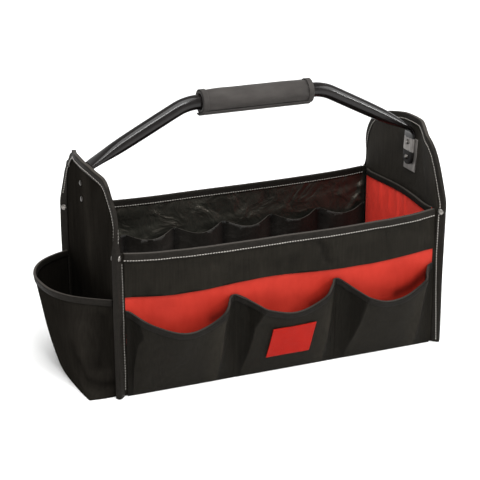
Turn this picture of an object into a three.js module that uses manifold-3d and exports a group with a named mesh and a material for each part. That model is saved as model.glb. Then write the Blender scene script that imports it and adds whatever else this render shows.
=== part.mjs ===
// Open tool bag: a stiff cloth box between two tall end panels, with a bent tube handle,
// three pleated pockets in front, a deep pocket on the left end and a row of pockets inside.
// Millimetres, +Z up. X runs along the bag, the front is at -Y, and the bag stands on Z = 0.
import * as THREE from "three";
import Module from "manifold-3d";
import { mergeVertices } from "three/addons/utils/BufferGeometryUtils.js";

const wasm = await Module();
wasm.setup();

// Driving dimensions of the box
const boxLength = 442;
const boxDepth = 204;
const rimHeight = 192;
const rimSag = 7;
const endHeight = 287;
const endLean = 2;
const endBowLeft = 11;
const endBowRight = 18;
const uprightShare = 0.75;
const frontBulge = 4;

// How square the rim's sag, the walls' swell and the panels' bow and top are, as powers
const rimSquareness = 5;
const swellSquareness = 6;
const bowSharpness = 1.5;
const topRoundness = 3;

// Cloth, tape and seams
const wallCloth = 2;
const endCloth = 3;
const bandCloth = 1.2;
const pocketCloth = 1.4;
const baseBoard = 4;
const tapeCloth = 0.9;
const tapeWidth = 10;
const pocketTapeWidth = 7;
const seamWidth = 3;
const finLength = 12;
const finRise = 3;
const seatGap = 0.3;
const floorGap = 0.6;

// Front: the band over the red wall, and the three pockets
const bandHeight = 62;
const pocketHeight = 115;
const pocketPleat = 19;
const pocketBulge = 19;
const pocketCrown = 7;
const pocketSpread = 0.85;
const labelWidth = 61;
const labelHeight = 43;
const labelLean = 5;
const labelCloth = 1;
const labelCentreAcross = 2;
const labelCentreHeight = 47;

// Left end pocket
const sidePocketHeight = 126;
const sidePocketReach = 74;
const sidePocketBaseReach = 43;
const sidePocketSpread = 0.8;

// Inside: a row of pockets along the back wall and a red pocket on the right end
const innerPocketCount = 6;
const innerPocketHeight = 136;
const innerPocketFoot = 10;
const innerPocketBulge = 12;
const innerPocketScoop = 9;
const cornerBulgeShare = 0.6;
const footBulgeShare = 0.27;
const endPocketHeight = 188;
const endPocketFoot = 7;
const endPocketBulge = 8;

// Handle
const tubeRadius = 10;
const handleHeight = 340;
const handleTopSpan = 192;
const handleBendRadius = 66;
const tongueBendRadius = 13;
const tongueWidth = 27;
const tongueThickness = 5;
const tongueDrop = 50;
const tongueSquareness = 0.45;
const tubeSides = 14;
const bendSteps = 5;
const kneeSteps = 4;
const kneeFlatness = 0.8;
const legFootBelowTop = 16;
const gripLength = 154;
const gripRadius = 15;
const gripSwell = 0.4;
const gripSides = 20;
const hemWidth = 7;
const hemCloth = 1;
const flapCloth = 1.2;
const flapOverhang = 2;
const flapStartAngle = -140;
const flapTurnAngle = 70;

// Steel plates and rivets
const plateWidth = 31;
const plateThickness = 1.6;
const plateBelowTongue = 9;
const plateMargin = 1.5;
const rivetShank = 1.8;
const rivetCap = 5;
const rivetDome = 2.2;
const handleRivetCap = 4.4;
const handleRivetSpacing = 21;
const rivetAboveFoot = 10;
const rivetSides = 10;
const capShoulder = 0.7;
const drillExtra = 10;

// Shares for the outlines, a row for each section. The last two rows of the shoulders are the row that
// the top tape ends on and the top edge, and rise is the middle's height over the row's ends.
const shoulderRows = [
  { up: 0.16, across: 1.055, flare: 30, rise: 0 },
  { up: 0.36, across: 1.025, flare: 9, rise: 0.02 },
  { up: 0.56, across: 0.968, flare: 0, rise: 0.08 },
  { up: 0.74, across: 0.865, flare: 0, rise: 0.15 },
  { up: 0.85, across: 0.75, flare: 0, rise: 0.15 },
];
const bandEdgeWave = [
  { along: -1, drop: -0.05 },
  { along: -0.7, drop: 0.05 },
  { along: -0.42, drop: 0 },
  { along: -0.12, drop: -0.06 },
  { along: 0.05, drop: -0.04 },
  { along: 0.32, drop: 0.05 },
  { along: 0.6, drop: 0.01 },
  { along: 1, drop: -0.1 },
];
const frontPocketRows = [
  { name: "front_pocket_left", scoop: 0.275, skew: 0.04 },
  { name: "front_pocket_middle", scoop: 0.235, skew: 0.03 },
  { name: "front_pocket_right", scoop: 0.295, skew: 0 },
];
// Plan of the left pocket, at its base and at its mouth: across is a share of half the depth, and out a
// share of the reach
const sidePocketPlan = [
  { across: -0.975, out: 0.02, mouthAcross: -0.89, mouthOut: 0.03 },
  { across: -0.99, out: 0.45, mouthAcross: -0.82, mouthOut: 0.17 },
  { across: -0.965, out: 0.88, mouthAcross: -0.66, mouthOut: 0.48 },
  { across: -0.72, out: 0.95, mouthAcross: -0.48, mouthOut: 0.71 },
  { across: -0.4, out: 0.98, mouthAcross: -0.26, mouthOut: 0.87 },
  { across: -0.05, out: 1, mouthAcross: 0, mouthOut: 0.93 },
  { across: 0.28, out: 0.93, mouthAcross: 0.28, mouthOut: 0.92 },
  { across: 0.58, out: 0.8, mouthAcross: 0.55, mouthOut: 0.8 },
  { across: 0.82, out: 0.62, mouthAcross: 0.77, mouthOut: 0.56 },
  { across: 0.94, out: 0.35, mouthAcross: 0.92, mouthOut: 0.26 },
  { across: 0.975, out: 0.02, mouthAcross: 0.985, mouthOut: 0.03 },
];

// The handle's leg and tongue: down is a share of the way down each
const legRows = [
  { down: 0.62, flat: 0 },
  { down: 0.78, flat: 0.25 },
  { down: 0.88, flat: 0.55 },
];
const tongueRows = [
  { down: 0.4, narrow: 1 },
  { down: 0.75, narrow: 1 },
  { down: 0.88, narrow: 0.88 },
  { down: 0.96, narrow: 0.62 },
  { down: 1, narrow: 0.3 },
];

// Sizes that follow from them
const halfLength = boxLength / 2;
const halfDepth = boxDepth / 2;
const layerStep = endCloth / 2 + seatGap + wallCloth / 2;
const cornerTurn = layerStep * Math.SQRT1_2;
const wallReach = halfLength - cornerTurn;
const seamReach = wallReach - finLength / 3;
const tapeStand = seatGap + tapeCloth / 2;
const wallTopBelowRim = tapeStand + tapeCloth / 2;
const bandStand = wallCloth / 2 + seatGap + bandCloth / 2;
const handleShift = (endBowRight - endBowLeft) / 2;
const pocketStand = wallCloth / 2 + seatGap + tapeCloth + seatGap + pocketCloth / 2;

const materials = {
  blackCloth: new THREE.MeshStandardMaterial({ color: 0x24221f, roughness: 0.85 }),
  liningCloth: new THREE.MeshStandardMaterial({ color: 0x2b2624, roughness: 0.6 }),
  redCloth: new THREE.MeshStandardMaterial({ color: 0xbd3327, roughness: 0.8 }),
  tape: new THREE.MeshStandardMaterial({ color: 0x2e2d2a, roughness: 0.8 }),
  gripCloth: new THREE.MeshStandardMaterial({ color: 0x3c3836, roughness: 0.9 }),
  paintedTube: new THREE.MeshStandardMaterial({ color: 0x16120f, roughness: 0.25, metalness: 0.3 }),
  steel: new THREE.MeshStandardMaterial({ color: 0x77716c, roughness: 0.35, metalness: 0.9 }),
};

const bag = new THREE.Group();

function addMesh(name, geometry, material) {
  const mesh = new THREE.Mesh(geometry, material);
  mesh.name = name;
  bag.add(mesh);
}

// General shape tools

function range(count) {
  return Array.from({ length: count + 1 }, (_, i) => i / count);
}

function tableValue(rows, key, at, column) {
  if (at <= rows[0][key]) return rows[0][column];
  for (let i = 1; i < rows.length; i++) {
    if (at <= rows[i][key]) {
      const share = (at - rows[i - 1][key]) / (rows[i][key] - rows[i - 1][key]);
      const eased = share * share * (3 - 2 * share);
      return rows[i - 1][column] + (rows[i][column] - rows[i - 1][column]) * eased;
    }
  }
  return rows[rows.length - 1][column];
}

function meshFrom(points, triangles) {
  const geometry = new THREE.BufferGeometry();
  const flat = points.flatMap((p) => [p.x, p.y, p.z]);
  geometry.setAttribute("position", new THREE.Float32BufferAttribute(flat, 3));
  let volume = 0;
  for (const [a, b, c] of triangles) {
    volume += points[a].dot(new THREE.Vector3().crossVectors(points[b], points[c]));
  }
  const facing = volume < 0 ? triangles.map(([a, b, c]) => [a, c, b]) : triangles;
  geometry.setIndex(facing.flat());
  return geometry;
}

// The surface normal at each point of a grid of points
function gridNormals(grid) {
  const rows = grid.length;
  const columns = grid[0].length;
  return grid.map((row, i) =>
    row.map((_, j) => {
      const up = grid[Math.min(i + 1, rows - 1)][j].clone().sub(grid[Math.max(i - 1, 0)][j]);
      const before = row[Math.max(j - 1, 0)];
      const after = row[Math.min(j + 1, columns - 1)];
      return new THREE.Vector3().crossVectors(after.clone().sub(before), up).normalize();
    }),
  );
}

function offsetGrid(grid, distance) {
  const normals = gridNormals(grid);
  return grid.map((row, i) => row.map((p, j) => p.clone().addScaledVector(normals[i][j], distance)));
}

// A wall of even thickness about a grid of points, closed along its four edges
function clothWall(grid, thickness) {
  const rows = grid.length;
  const columns = grid[0].length;
  const sides = [offsetGrid(grid, thickness / 2), offsetGrid(grid, -thickness / 2)];
  const points = sides.flat(2);
  const at = (side, i, j) => side * rows * columns + i * columns + j;
  const triangles = [];
  // Each quad is split along its shorter diagonal, so that a tape bends where its cloth does
  const quad = (a, b, c, d) => {
    if (points[a].distanceTo(points[c]) <= points[b].distanceTo(points[d])) {
      triangles.push([a, b, c], [a, c, d]);
    } else {
      triangles.push([a, b, d], [b, c, d]);
    }
  };
  for (let i = 0; i < rows - 1; i++) {
    for (let j = 0; j < columns - 1; j++) {
      quad(at(0, i, j), at(0, i, j + 1), at(0, i + 1, j + 1), at(0, i + 1, j));
      quad(at(1, i, j), at(1, i + 1, j), at(1, i + 1, j + 1), at(1, i, j + 1));
    }
  }
  for (let j = 0; j < columns - 1; j++) {
    quad(at(0, 0, j), at(1, 0, j), at(1, 0, j + 1), at(0, 0, j + 1));
    quad(at(0, rows - 1, j), at(0, rows - 1, j + 1), at(1, rows - 1, j + 1), at(1, rows - 1, j));
  }
  for (let i = 0; i < rows - 1; i++) {
    quad(at(0, i, 0), at(0, i + 1, 0), at(1, i + 1, 0), at(1, i, 0));
    quad(at(0, i, columns - 1), at(1, i, columns - 1), at(1, i + 1, columns - 1), at(0, i + 1, columns - 1));
  }
  return meshFrom(points, triangles);
}

// A solid swept through rings of points, with a fan at each end
function ringSolid(rings) {
  const count = rings[0].length;
  const points = rings.flat();
  const triangles = [];
  for (let i = 0; i < rings.length - 1; i++) {
    for (let j = 0; j < count; j++) {
      const k = (j + 1) % count;
      triangles.push([i * count + j, i * count + k, (i + 1) * count + k]);
      triangles.push([i * count + j, (i + 1) * count + k, (i + 1) * count + j]);
    }
  }
  const last = (rings.length - 1) * count;
  for (let j = 1; j < count - 1; j++) {
    triangles.push([0, j + 1, j]);
    triangles.push([last, last + j, last + j + 1]);
  }
  return meshFrom(points, triangles);
}

// Edge tape folded over the edge of a wall. Each station has the edge point, the way down into the wall,
// the wall's normal at the edge and at the tape's own edge, and the thickness that the tape holds.
function edgeTape(stations, width) {
  const grid = stations.map(({ edge, down, normal, footNormal, held }) => {
    const off = held / 2 + tapeStand;
    const place = (depth, across, face) =>
      edge.clone().addScaledVector(down, depth).addScaledVector(across, face);
    return [
      place(width, footNormal, off),
      place(-tapeStand, normal, off),
      place(-tapeStand, normal, -off),
      place(width, footNormal, -off),
    ];
  });
  return clothWall(grid, tapeCloth);
}

// Stations along the last row of a grid, for the tape on a wall's top edge
function topEdgeStations(grid, held, width) {
  const last = grid.length - 1;
  const normals = gridNormals(grid);
  return grid[last].map((edge, j) => {
    const down = grid[last - 1][j].clone().sub(edge);
    const normal = normals[last][j];
    const footNormal = normal.clone().lerp(normals[last - 1][j], Math.min(1, width / down.length()));
    return { edge: edge.clone(), down: down.normalize(), normal, footNormal, held };
  });
}

function toManifold(geometry) {
  const bare = new THREE.BufferGeometry().setAttribute("position", geometry.getAttribute("position").clone());
  if (geometry.index) bare.setIndex(geometry.index.clone());
  const merged = mergeVertices(bare, 1e-3);
  const vertProperties = new Float32Array(merged.attributes.position.array);
  const triVerts = new Uint32Array(merged.index.array);
  return new wasm.Manifold(new wasm.Mesh({ numProp: 3, vertProperties, triVerts }));
}

function fromManifold(solid) {
  const made = solid.getMesh();
  const geometry = new THREE.BufferGeometry();
  geometry.setAttribute("position", new THREE.BufferAttribute(new Float32Array(made.vertProperties), 3));
  geometry.setIndex(new THREE.BufferAttribute(new Uint32Array(made.triVerts), 1));
  return geometry;
}

function cutAll(geometry, cutters) {
  const cut = cutters.reduce((solid, cutter) => solid.subtract(toManifold(cutter)), toManifold(geometry));
  return fromManifold(cut);
}

// A turned solid whose own axis is +Y, laid so that +Y points along axis and its origin is at centre
function layAlong(geometry, centre, axis) {
  const own = new THREE.Vector3(0, 1, 0);
  const turn = new THREE.Quaternion().setFromUnitVectors(own, axis.clone().normalize());
  return geometry.applyQuaternion(turn).translate(centre.x, centre.y, centre.z);
}

// Shape of the box

function rimTop(x) {
  return rimHeight - rimSag * (1 - Math.min(1, Math.abs(x) / halfLength) ** rimSquareness);
}

// How far the front and back walls swell out, at a share of the wall's height
function wallSwell(x, up) {
  return frontBulge * (1 - Math.min(1, Math.abs(x) / wallReach) ** swellSquareness) * up;
}

function wallPoint(side, x, z, stand = 0) {
  const y = halfDepth + wallSwell(x, z / rimHeight) + stand;
  return new THREE.Vector3(x, side * y, z);
}

// Stations along a wall, closer together where the rim rises to the corners
const wallShares = [-1, -0.95, -0.84, -0.66, -0.44, -0.22, 0, 0.22, 0.44, 0.66, 0.84, 0.95, 1];

// Points down a fin: its tip, and just past the edge of the tape
const finShares = [1, Math.max(0.05, 1 - (tapeWidth + seatGap) / finLength)];

function wallRow(side, up) {
  const rise = (x) => floorGap + up * (rimTop(x) - wallTopBelowRim - floorGap);
  const fin = (sign) =>
    finShares.map((share) => {
      const bend = wallPoint(side, sign * wallReach, rise(wallReach));
      const along = share * finLength * Math.SQRT1_2;
      return bend.add(new THREE.Vector3(sign * along, side * along, 0));
    });
  const flat = [-wallReach, ...wallShares.map((share) => share * seamReach), wallReach];
  return [...fin(-1), ...flat.map((x) => wallPoint(side, x, rise(x))), ...fin(1).reverse()];
}

// A front or back wall, with each end turned out into the corner fin
function wallGrid(side) {
  return [0, 0.35, 0.7, 1].map((up) => wallRow(side, up));
}

// Shape of the end panels

// The panels lean out a little above the rim, and bow out between their upright edges. The bow grows
// with height, and bend is where the fin starts.
function endX(side, z, y, bend) {
  const lean = endLean * Math.max(0, (z - rimHeight) / (endHeight - rimHeight));
  const across = Math.min(1, Math.abs(y) / bend);
  const reach = side < 0 ? endBowLeft : endBowRight;
  const upward = Math.sin((Math.PI / 2) * Math.min(1, z / endHeight));
  const bow = reach * upward * (1 - across * across) ** bowSharpness;
  return side * (halfLength + lean + bow);
}

// Columns of an end panel, as distances from its middle. The inner ones stay upright, and the first
// stands clear of the handle's plate, so that the plate lies on a flat.
const flatReach = plateWidth / 2 + plateMargin;
const topBend = shoulderRows[shoulderRows.length - 1].across * halfDepth - finLength;
const uprightReach = uprightShare * topBend;

function endColumns(bend) {
  return [flatReach, (2 * flatReach + uprightReach) / 3, uprightReach, (uprightReach + bend) / 2, bend];
}

// The face of a panel, which is straight between its columns
function endFaceX(side, z, y, bend) {
  const columns = endColumns(bend);
  const reach = Math.abs(y);
  if (reach <= columns[0]) return endX(side, z, columns[0], bend);
  const next = Math.max(1, columns.findIndex((column) => column >= reach));
  const share = (reach - columns[next - 1]) / (columns[next] - columns[next - 1]);
  const before = endX(side, z, columns[next - 1], bend);
  return before + share * (endX(side, z, columns[next], bend) - before);
}

function endRowSizes() {
  const finAcross = halfDepth - cornerTurn + finLength * Math.SQRT1_2;
  const straight = [0, rimHeight / 3, (2 * rimHeight) / 3, rimHeight, rimHeight + finRise].map((z) => ({
    z: Math.max(z, floorGap),
    across: finAcross,
    flare: 45,
    rise: 0,
  }));
  const shoulder = endHeight - rimHeight;
  const upper = shoulderRows.map(({ up, across, flare, rise }) => ({
    z: rimHeight + up * shoulder,
    across: across * halfDepth,
    flare,
    rise: rise * shoulder,
  }));
  return [...straight, ...upper];
}

// Rows from the floor to the top, columns from the front edge to the back edge
function endGrid(side) {
  const grid = endRowSizes().map(({ z, across, flare, rise }) => {
    const angle = THREE.MathUtils.degToRad(flare);
    const bend = across - finLength * Math.cos(angle);
    const place = (y, outward) => {
      const height = z + rise * (1 - Math.abs(y / across) ** topRoundness);
      return new THREE.Vector3(endX(side, height, y, bend) + side * outward, y, height);
    };
    const fin = (sign) =>
      finShares.map((share) => {
        const along = share * finLength;
        return place(sign * (bend + along * Math.cos(angle)), along * Math.sin(angle));
      });
    const columns = endColumns(bend);
    const flat = [...columns.map((y) => -y).reverse(), ...columns];
    return [...fin(-1), ...flat.map((y) => place(y, 0)), ...fin(1).reverse()];
  });
  insetTopRow(side, grid);
  return grid;
}

// Moves the row under the top edge to where the top tape ends, one tape's width inside the outline
function insetTopRow(side, grid) {
  const last = grid.length - 1;
  const right = grid[0].length - 1;
  const depth = tapeWidth + seatGap;
  const bend = endRowSizes()[last].across - finLength;
  for (let j = 2; j < right - 1; j++) {
    const top = grid[last][j];
    grid[last - 1][j].set(endX(side, top.z - depth, top.y, bend), top.y, top.z - depth);
  }
  for (const [corner, next] of [[0, 1], [right, right - 1]]) {
    const point = grid[last][corner];
    const up = grid[last][next].clone().sub(point).normalize();
    const down = grid[last - 1][corner].clone().sub(point).normalize();
    const half = up.angleTo(down) / 2;
    grid[last - 1][next].copy(up.add(down).normalize().multiplyScalar(depth / Math.sin(half)).add(point));
  }
}

// The edge of an end panel from its front foot over the top to its back foot. Up to the rim the tape
// holds the end panel and the wall together.
function endEdgeStations(side, grid, width) {
  const last = grid.length - 1;
  const right = grid[0].length - 1;
  const normals = gridNormals(grid);
  const border = [];
  for (let i = 0; i < last; i++) border.push({ at: [i, 0], foot: [i, 1] });
  border.push({ at: [last, 0], foot: [last - 1, 1] });
  for (let j = 1; j < right; j++) border.push({ at: [last, j], foot: [last - 1, j] });
  border.push({ at: [last, right], foot: [last - 1, right - 1] });
  for (let i = last - 1; i >= 0; i--) border.push({ at: [i, right], foot: [i, right - 1] });
  return border.map(({ at: [i, j], foot: [m, n] }) => {
    const point = grid[i][j];
    const normal = normals[i][j];
    const down = grid[m][n].clone().sub(point);
    const footNormal = normal.clone().lerp(normals[m][n], Math.min(1, width / down.length()));
    const held = point.z <= rimHeight ? endCloth + seatGap + wallCloth : endCloth;
    const shift = (held - endCloth) / 2;
    const edge = point.clone().addScaledVector(normal, normal.x * side > 0 ? -shift : shift);
    return { edge, down: down.normalize(), normal, footNormal, held };
  });
}

// Rivets: a shank with a domed cap at each end, its axis along +Y and its origin at the middle

function rivetGeometry(gripped, cap) {
  const half = gripped / 2 + seatGap;
  const upperHalf = [
    new THREE.Vector2(rivetShank, half),
    new THREE.Vector2(cap, half),
    new THREE.Vector2(cap * capShoulder, half + rivetDome * capShoulder),
    new THREE.Vector2(0, half + rivetDome),
  ];
  const lowerHalf = upperHalf.map(({ x, y }) => new THREE.Vector2(x, -y)).reverse();
  return new THREE.LatheGeometry([...lowerHalf, ...upperHalf], rivetSides);
}

function rivetHole({ gripped, centre, axis }) {
  const bore = rivetShank + seatGap;
  const drill = new THREE.CylinderGeometry(bore, bore, gripped + 2 * drillExtra, rivetSides);
  return layAlong(drill, centre, axis);
}

// Corner rivets go through the fins just under the rim
const finGripped = endCloth + wallCloth + seatGap + 2 * (seatGap + tapeCloth);
const cornerRivets = [];
for (const [xName, xSide] of [["left", -1], ["right", 1]]) {
  for (const [yName, ySide] of [["front", -1], ["back", 1]]) {
    const along = (finLength - tapeWidth / 2) * Math.SQRT1_2;
    const middle = (wallCloth - endCloth) / 4;
    const centre = new THREE.Vector3(
      xSide * (halfLength + along - cornerTurn / 2 - middle * Math.SQRT1_2),
      ySide * (halfDepth + along - cornerTurn / 2 + middle * Math.SQRT1_2),
      rimHeight - rivetCap - seatGap,
    );
    const axis = new THREE.Vector3(xSide, -ySide, 0).normalize();
    const name = `corner_rivet_${yName}_${xName}`;
    cornerRivets.push({ name, xSide, ySide, centre, axis, gripped: finGripped });
  }
}

// Handle: places on the inner face of each end panel

const legFootHeight = endHeight - legFootBelowTop;
const tongueFoot = legFootHeight - tongueDrop;
const plateTop = legFootHeight - tongueBendRadius;
const plateFoot = tongueFoot - plateBelowTongue;

// The inner face under the plate is the flat between the plate's two ends
function endFlatPoint(side, z) {
  return new THREE.Vector3(endX(side, z, flatReach, halfDepth - finLength), 0, z);
}

function endInnerAxis(side) {
  const slope = endFlatPoint(side, plateTop).sub(endFlatPoint(side, plateFoot)).normalize();
  return slope.cross(new THREE.Vector3(0, side, 0));
}

function endInnerPoint(side, z, inward) {
  const share = (z - plateFoot) / (plateTop - plateFoot);
  const middle = endFlatPoint(side, plateFoot).lerp(endFlatPoint(side, plateTop), share);
  return middle.addScaledVector(endInnerAxis(side), endCloth / 2 + inward);
}

const tongueInward = seatGap + plateThickness + seatGap + tongueThickness / 2;
const lowerRivetHeight = tongueFoot + rivetAboveFoot;
const handleRivets = [];
for (const [sideName, side] of [["left", -1], ["right", 1]]) {
  for (const [level, z] of [["upper", lowerRivetHeight + handleRivetSpacing], ["lower", lowerRivetHeight]]) {
    const name = `handle_rivet_${level}_${sideName}`;
    const gripped = endCloth + 2 * seatGap + plateThickness + tongueThickness;
    const centre = endInnerPoint(side, z, gripped / 2 - endCloth);
    handleRivets.push({ name, side, centre, axis: endInnerAxis(side), gripped });
  }
}

function handleRivetHoles(side) {
  return handleRivets.filter((rivet) => rivet.side === side).map(rivetHole);
}

function cornerRivetHoles(keep) {
  return cornerRivets.filter(keep).map(rivetHole);
}

// Box: base, walls, band and end panels

function makeBase() {
  const halfX = halfLength - endCloth / 2 - seatGap;
  const halfY = halfDepth - wallCloth / 2 - seatGap;
  const board = new THREE.BoxGeometry(2 * halfX, 2 * halfY, baseBoard);
  addMesh("base_board", board.translate(0, 0, baseBoard / 2), materials.blackCloth);
}

function makeWalls() {
  const walls = [
    { name: "front_wall", side: -1, material: materials.redCloth },
    { name: "back_wall", side: 1, material: materials.liningCloth },
  ];
  for (const { name, side, material } of walls) {
    const holes = cornerRivetHoles((rivet) => rivet.ySide === side);
    addMesh(name, cutAll(clothWall(wallGrid(side), wallCloth), holes), material);
  }
}

function bandGrid() {
  return [0, 0.5, 1].map((up) =>
    wallShares.map((share) => {
      const x = share * seamReach;
      const top = rimTop(x) - wallTopBelowRim;
      const bottom = rimHeight - bandHeight - tableValue(bandEdgeWave, "along", share, "drop") * bandHeight;
      return wallPoint(-1, x, bottom + up * (top - bottom), bandStand);
    }),
  );
}

function makeFrontBand() {
  addMesh("front_band", clothWall(bandGrid(), bandCloth), materials.blackCloth);
}

function makeEndPanels() {
  for (const [name, side] of [["left", -1], ["right", 1]]) {
    const grid = endGrid(side);
    const corner = cornerRivetHoles((rivet) => rivet.xSide === side);
    const panel = cutAll(clothWall(grid, endCloth), [...corner, ...handleRivetHoles(side)]);
    addMesh(`${name}_end_panel`, panel, materials.blackCloth);
    const tape = cutAll(edgeTape(endEdgeStations(side, grid, tapeWidth), tapeWidth), corner);
    addMesh(`${name}_end_tape`, tape, materials.tape);
  }
}

// The tapes on the front and back rims stop short of the corner rivets
function makeRimTapes() {
  for (const [name, side] of [["front_rim_tape", -1], ["back_rim_tape", 1]]) {
    const grid = [0.7, 1].map((up) => wallRow(side, up).slice(3, -3));
    const extra = side < 0 ? seatGap + bandCloth : 0;
    const stations = topEdgeStations(grid, wallCloth + extra, tapeWidth);
    for (const station of stations) {
      station.edge.y += (side * extra) / 2;
    }
    addMesh(name, edgeTape(stations, tapeWidth), materials.tape);
  }
}

// Places across a pocket from its left seam to its right seam. The seams lie flat, and share runs from
// 0 to 1 between them.
function pocketColumns(left, width, shares) {
  const start = left + seatGap / 2;
  const inner = width - seatGap - 2 * seamWidth;
  const between = shares.map((share) => ({ share, x: start + seamWidth + share * inner }));
  return [{ share: 0, x: start }, ...between, { share: 1, x: start + width - seatGap }];
}

// Shares of a pocket's height from its foot to its mouth, with a row at the foot of the tape
function pocketRises(count, height) {
  const taped = 1 - pocketTapeWidth / height;
  return [...range(count).map((share) => share * taped), 1];
}

// Front pockets: each is one cloth sewn flat at its foot and its side seams, with a pleat beside each seam

const pocketPitch = (2 * seamReach) / frontPocketRows.length;
const frontPocketShares = [0, 0.05, 0.11, 0.18, 0.29, 0.4, 0.5, 0.6, 0.71, 0.82, 0.89, 0.95, 1];

function frontPocketPoint(row, x, share, up, stand = 0) {
  const side = (Math.min(share, 1 - share) * pocketPitch) / pocketPleat;
  const pleated = side < 1 ? side * side * (3 - 2 * side) : 1;
  const bulge = (pocketBulge + pocketCrown * Math.sin(Math.PI * share)) * pleated * up ** pocketSpread;
  return wallPoint(-1, x, floorGap + up * (pocketMouth(row, share) - floorGap), pocketStand + bulge + stand);
}

function pocketMouth(row, share) {
  const turned = share - row.skew * Math.sin(Math.PI * share);
  return pocketHeight * (1 - row.scoop * Math.sin(Math.PI * turned));
}

function makeFrontPockets() {
  frontPocketRows.forEach((row, index) => {
    const left = (index - frontPocketRows.length / 2) * pocketPitch;
    const columns = pocketColumns(left, pocketPitch, frontPocketShares);
    const rises = columns.map(({ share }) => pocketRises(5, pocketMouth(row, share) - floorGap));
    const grid = rises[0].map((_, level) =>
      columns.map(({ x, share }, j) => frontPocketPoint(row, x, share, rises[j][level])),
    );
    addMesh(row.name, clothWall(grid, pocketCloth), materials.blackCloth);
    const stations = topEdgeStations(grid, pocketCloth, pocketTapeWidth);
    addMesh(`${row.name}_tape`, edgeTape(stations, pocketTapeWidth), materials.tape);
  });
}

function makeLabel() {
  const row = frontPocketRows[1];
  const stand = pocketCloth / 2 + seatGap + labelCloth / 2;
  const mouth = pocketMouth(row, 0.5);
  const grid = range(3).map((up) =>
    range(6).map((across) => {
      const x = labelCentreAcross + (across - 0.5) * labelWidth + (up - 0.5) * labelLean;
      const z = labelCentreHeight + (up - 0.5) * labelHeight;
      const place = frontPocketPoint(row, x, 0.5 + x / pocketPitch, z / mouth, stand);
      return place.setZ(z);
    }),
  );
  addMesh("label_patch", clothWall(grid, labelCloth), materials.redCloth);
}

// Left end pocket: a curved wall from the front fin to the back fin, and its base

function sidePocketWallPoint(row, up) {
  const base = { y: row.across * halfDepth, out: row.out * sidePocketBaseReach };
  const mouth = { y: row.mouthAcross * halfDepth, out: row.mouthOut * sidePocketReach };
  const mix = up ** sidePocketSpread;
  const y = base.y + (mouth.y - base.y) * mix;
  const out = base.out + (mouth.out - base.out) * mix;
  const stand = endCloth / 2 + seatGap + tapeCloth + seatGap + pocketCloth / 2;
  const z = floorGap + up * (sidePocketHeight - floorGap);
  return new THREE.Vector3(-halfLength - stand - out, y, z);
}

function sidePocketGrid() {
  const rises = pocketRises(5, sidePocketHeight - floorGap);
  return rises.map((up) => sidePocketPlan.map((row) => sidePocketWallPoint(row, up)));
}

function makeSidePocket() {
  const grid = sidePocketGrid();
  addMesh("side_pocket", clothWall(grid, pocketCloth), materials.blackCloth);
  const stations = topEdgeStations(grid, pocketCloth, pocketTapeWidth);
  addMesh("side_pocket_tape", edgeTape(stations, pocketTapeWidth), materials.tape);
}

function makeSidePocketBase() {
  const inset = pocketCloth / 2 + seatGap;
  const baseTop = pocketCloth / (sidePocketHeight - floorGap);
  const foot = sidePocketGrid()[0];
  const normals = gridNormals(sidePocketGrid())[0];
  const side = Math.sign(normals[Math.floor(normals.length / 2)].x);
  // Where the wall leans in over the base, the base's edge stays back from it
  const outline = foot.map((p, i) => {
    const inward = new THREE.Vector3(side * normals[i].x, side * normals[i].y, 0).normalize();
    const lean = sidePocketWallPoint(sidePocketPlan[i], baseTop).sub(p).dot(inward);
    return p.clone().addScaledVector(inward, inset + Math.max(0, lean));
  });
  const shape = new THREE.Shape(outline.map((p) => new THREE.Vector2(p.x, p.y)));
  const base = new THREE.ExtrudeGeometry(shape, { depth: pocketCloth, bevelEnabled: false });
  addMesh("side_pocket_base", base.translate(0, 0, floorGap), materials.blackCloth);
}

// Pockets inside: each stands out from its wall a little at its foot and fully at its mouth

const innerPocketShares = [0, 0.12, 0.3, 0.5, 0.7, 0.88, 1];
const endPocketShares = [-1, -0.93, -0.8, -0.4, 0, 0.4, 0.8, 0.93, 1];

function footToMouth(up) {
  return THREE.MathUtils.lerp(footBulgeShare, 1, up);
}

function innerPocketGrid(index) {
  const reach = halfLength - endCloth / 2 - seatGap;
  const pitch = (2 * reach) / innerPocketCount;
  const stand = -(wallCloth / 2 + seatGap + pocketCloth / 2);
  const foot = baseBoard + innerPocketFoot;
  const columns = pocketColumns(-reach + pitch * index, pitch, innerPocketShares);
  return range(4).map((up) =>
    columns.map(({ x, share }) => {
      const mouth = innerPocketHeight - innerPocketScoop * Math.sin(Math.PI * share);
      const bulge = innerPocketBulge * Math.sin(Math.PI * share) * footToMouth(up);
      return wallPoint(1, x, foot + up * (mouth - foot), stand - bulge);
    }),
  );
}

function makeInnerPockets() {
  for (let index = 0; index < innerPocketCount; index++) {
    const pocket = clothWall(innerPocketGrid(index), pocketCloth);
    addMesh(`inner_pocket_${index + 1}`, pocket, materials.blackCloth);
  }
}

function makeEndPocket() {
  // It stops where the last pocket of the back wall comes forward
  const reachY = halfDepth - wallCloth / 2 - seatGap - pocketCloth - innerPocketBulge * cornerBulgeShare;
  const foot = baseBoard + endPocketFoot;
  const stand = endCloth / 2 + seatGap + tapeCloth + seatGap + pocketCloth / 2;
  const grid = pocketRises(3, endPocketHeight - foot).map((up) =>
    endPocketShares.map((share) => {
      const bulge = endPocketBulge * (1 - Math.abs(share) ** swellSquareness) * footToMouth(up);
      const z = foot + up * (endPocketHeight - foot);
      const x = endFaceX(1, z, share * reachY, halfDepth - cornerTurn) - stand - bulge;
      return new THREE.Vector3(x, share * reachY, z);
    }),
  );
  addMesh("end_pocket", clothWall(grid, pocketCloth), materials.redCloth);
  const stations = topEdgeStations(grid, pocketCloth, pocketTapeWidth);
  addMesh("end_pocket_tape", edgeTape(stations, pocketTapeWidth), materials.tape);
}

// Handle tube: a round tube along a bent line, its ends flattened into tongues on the end panels

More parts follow.
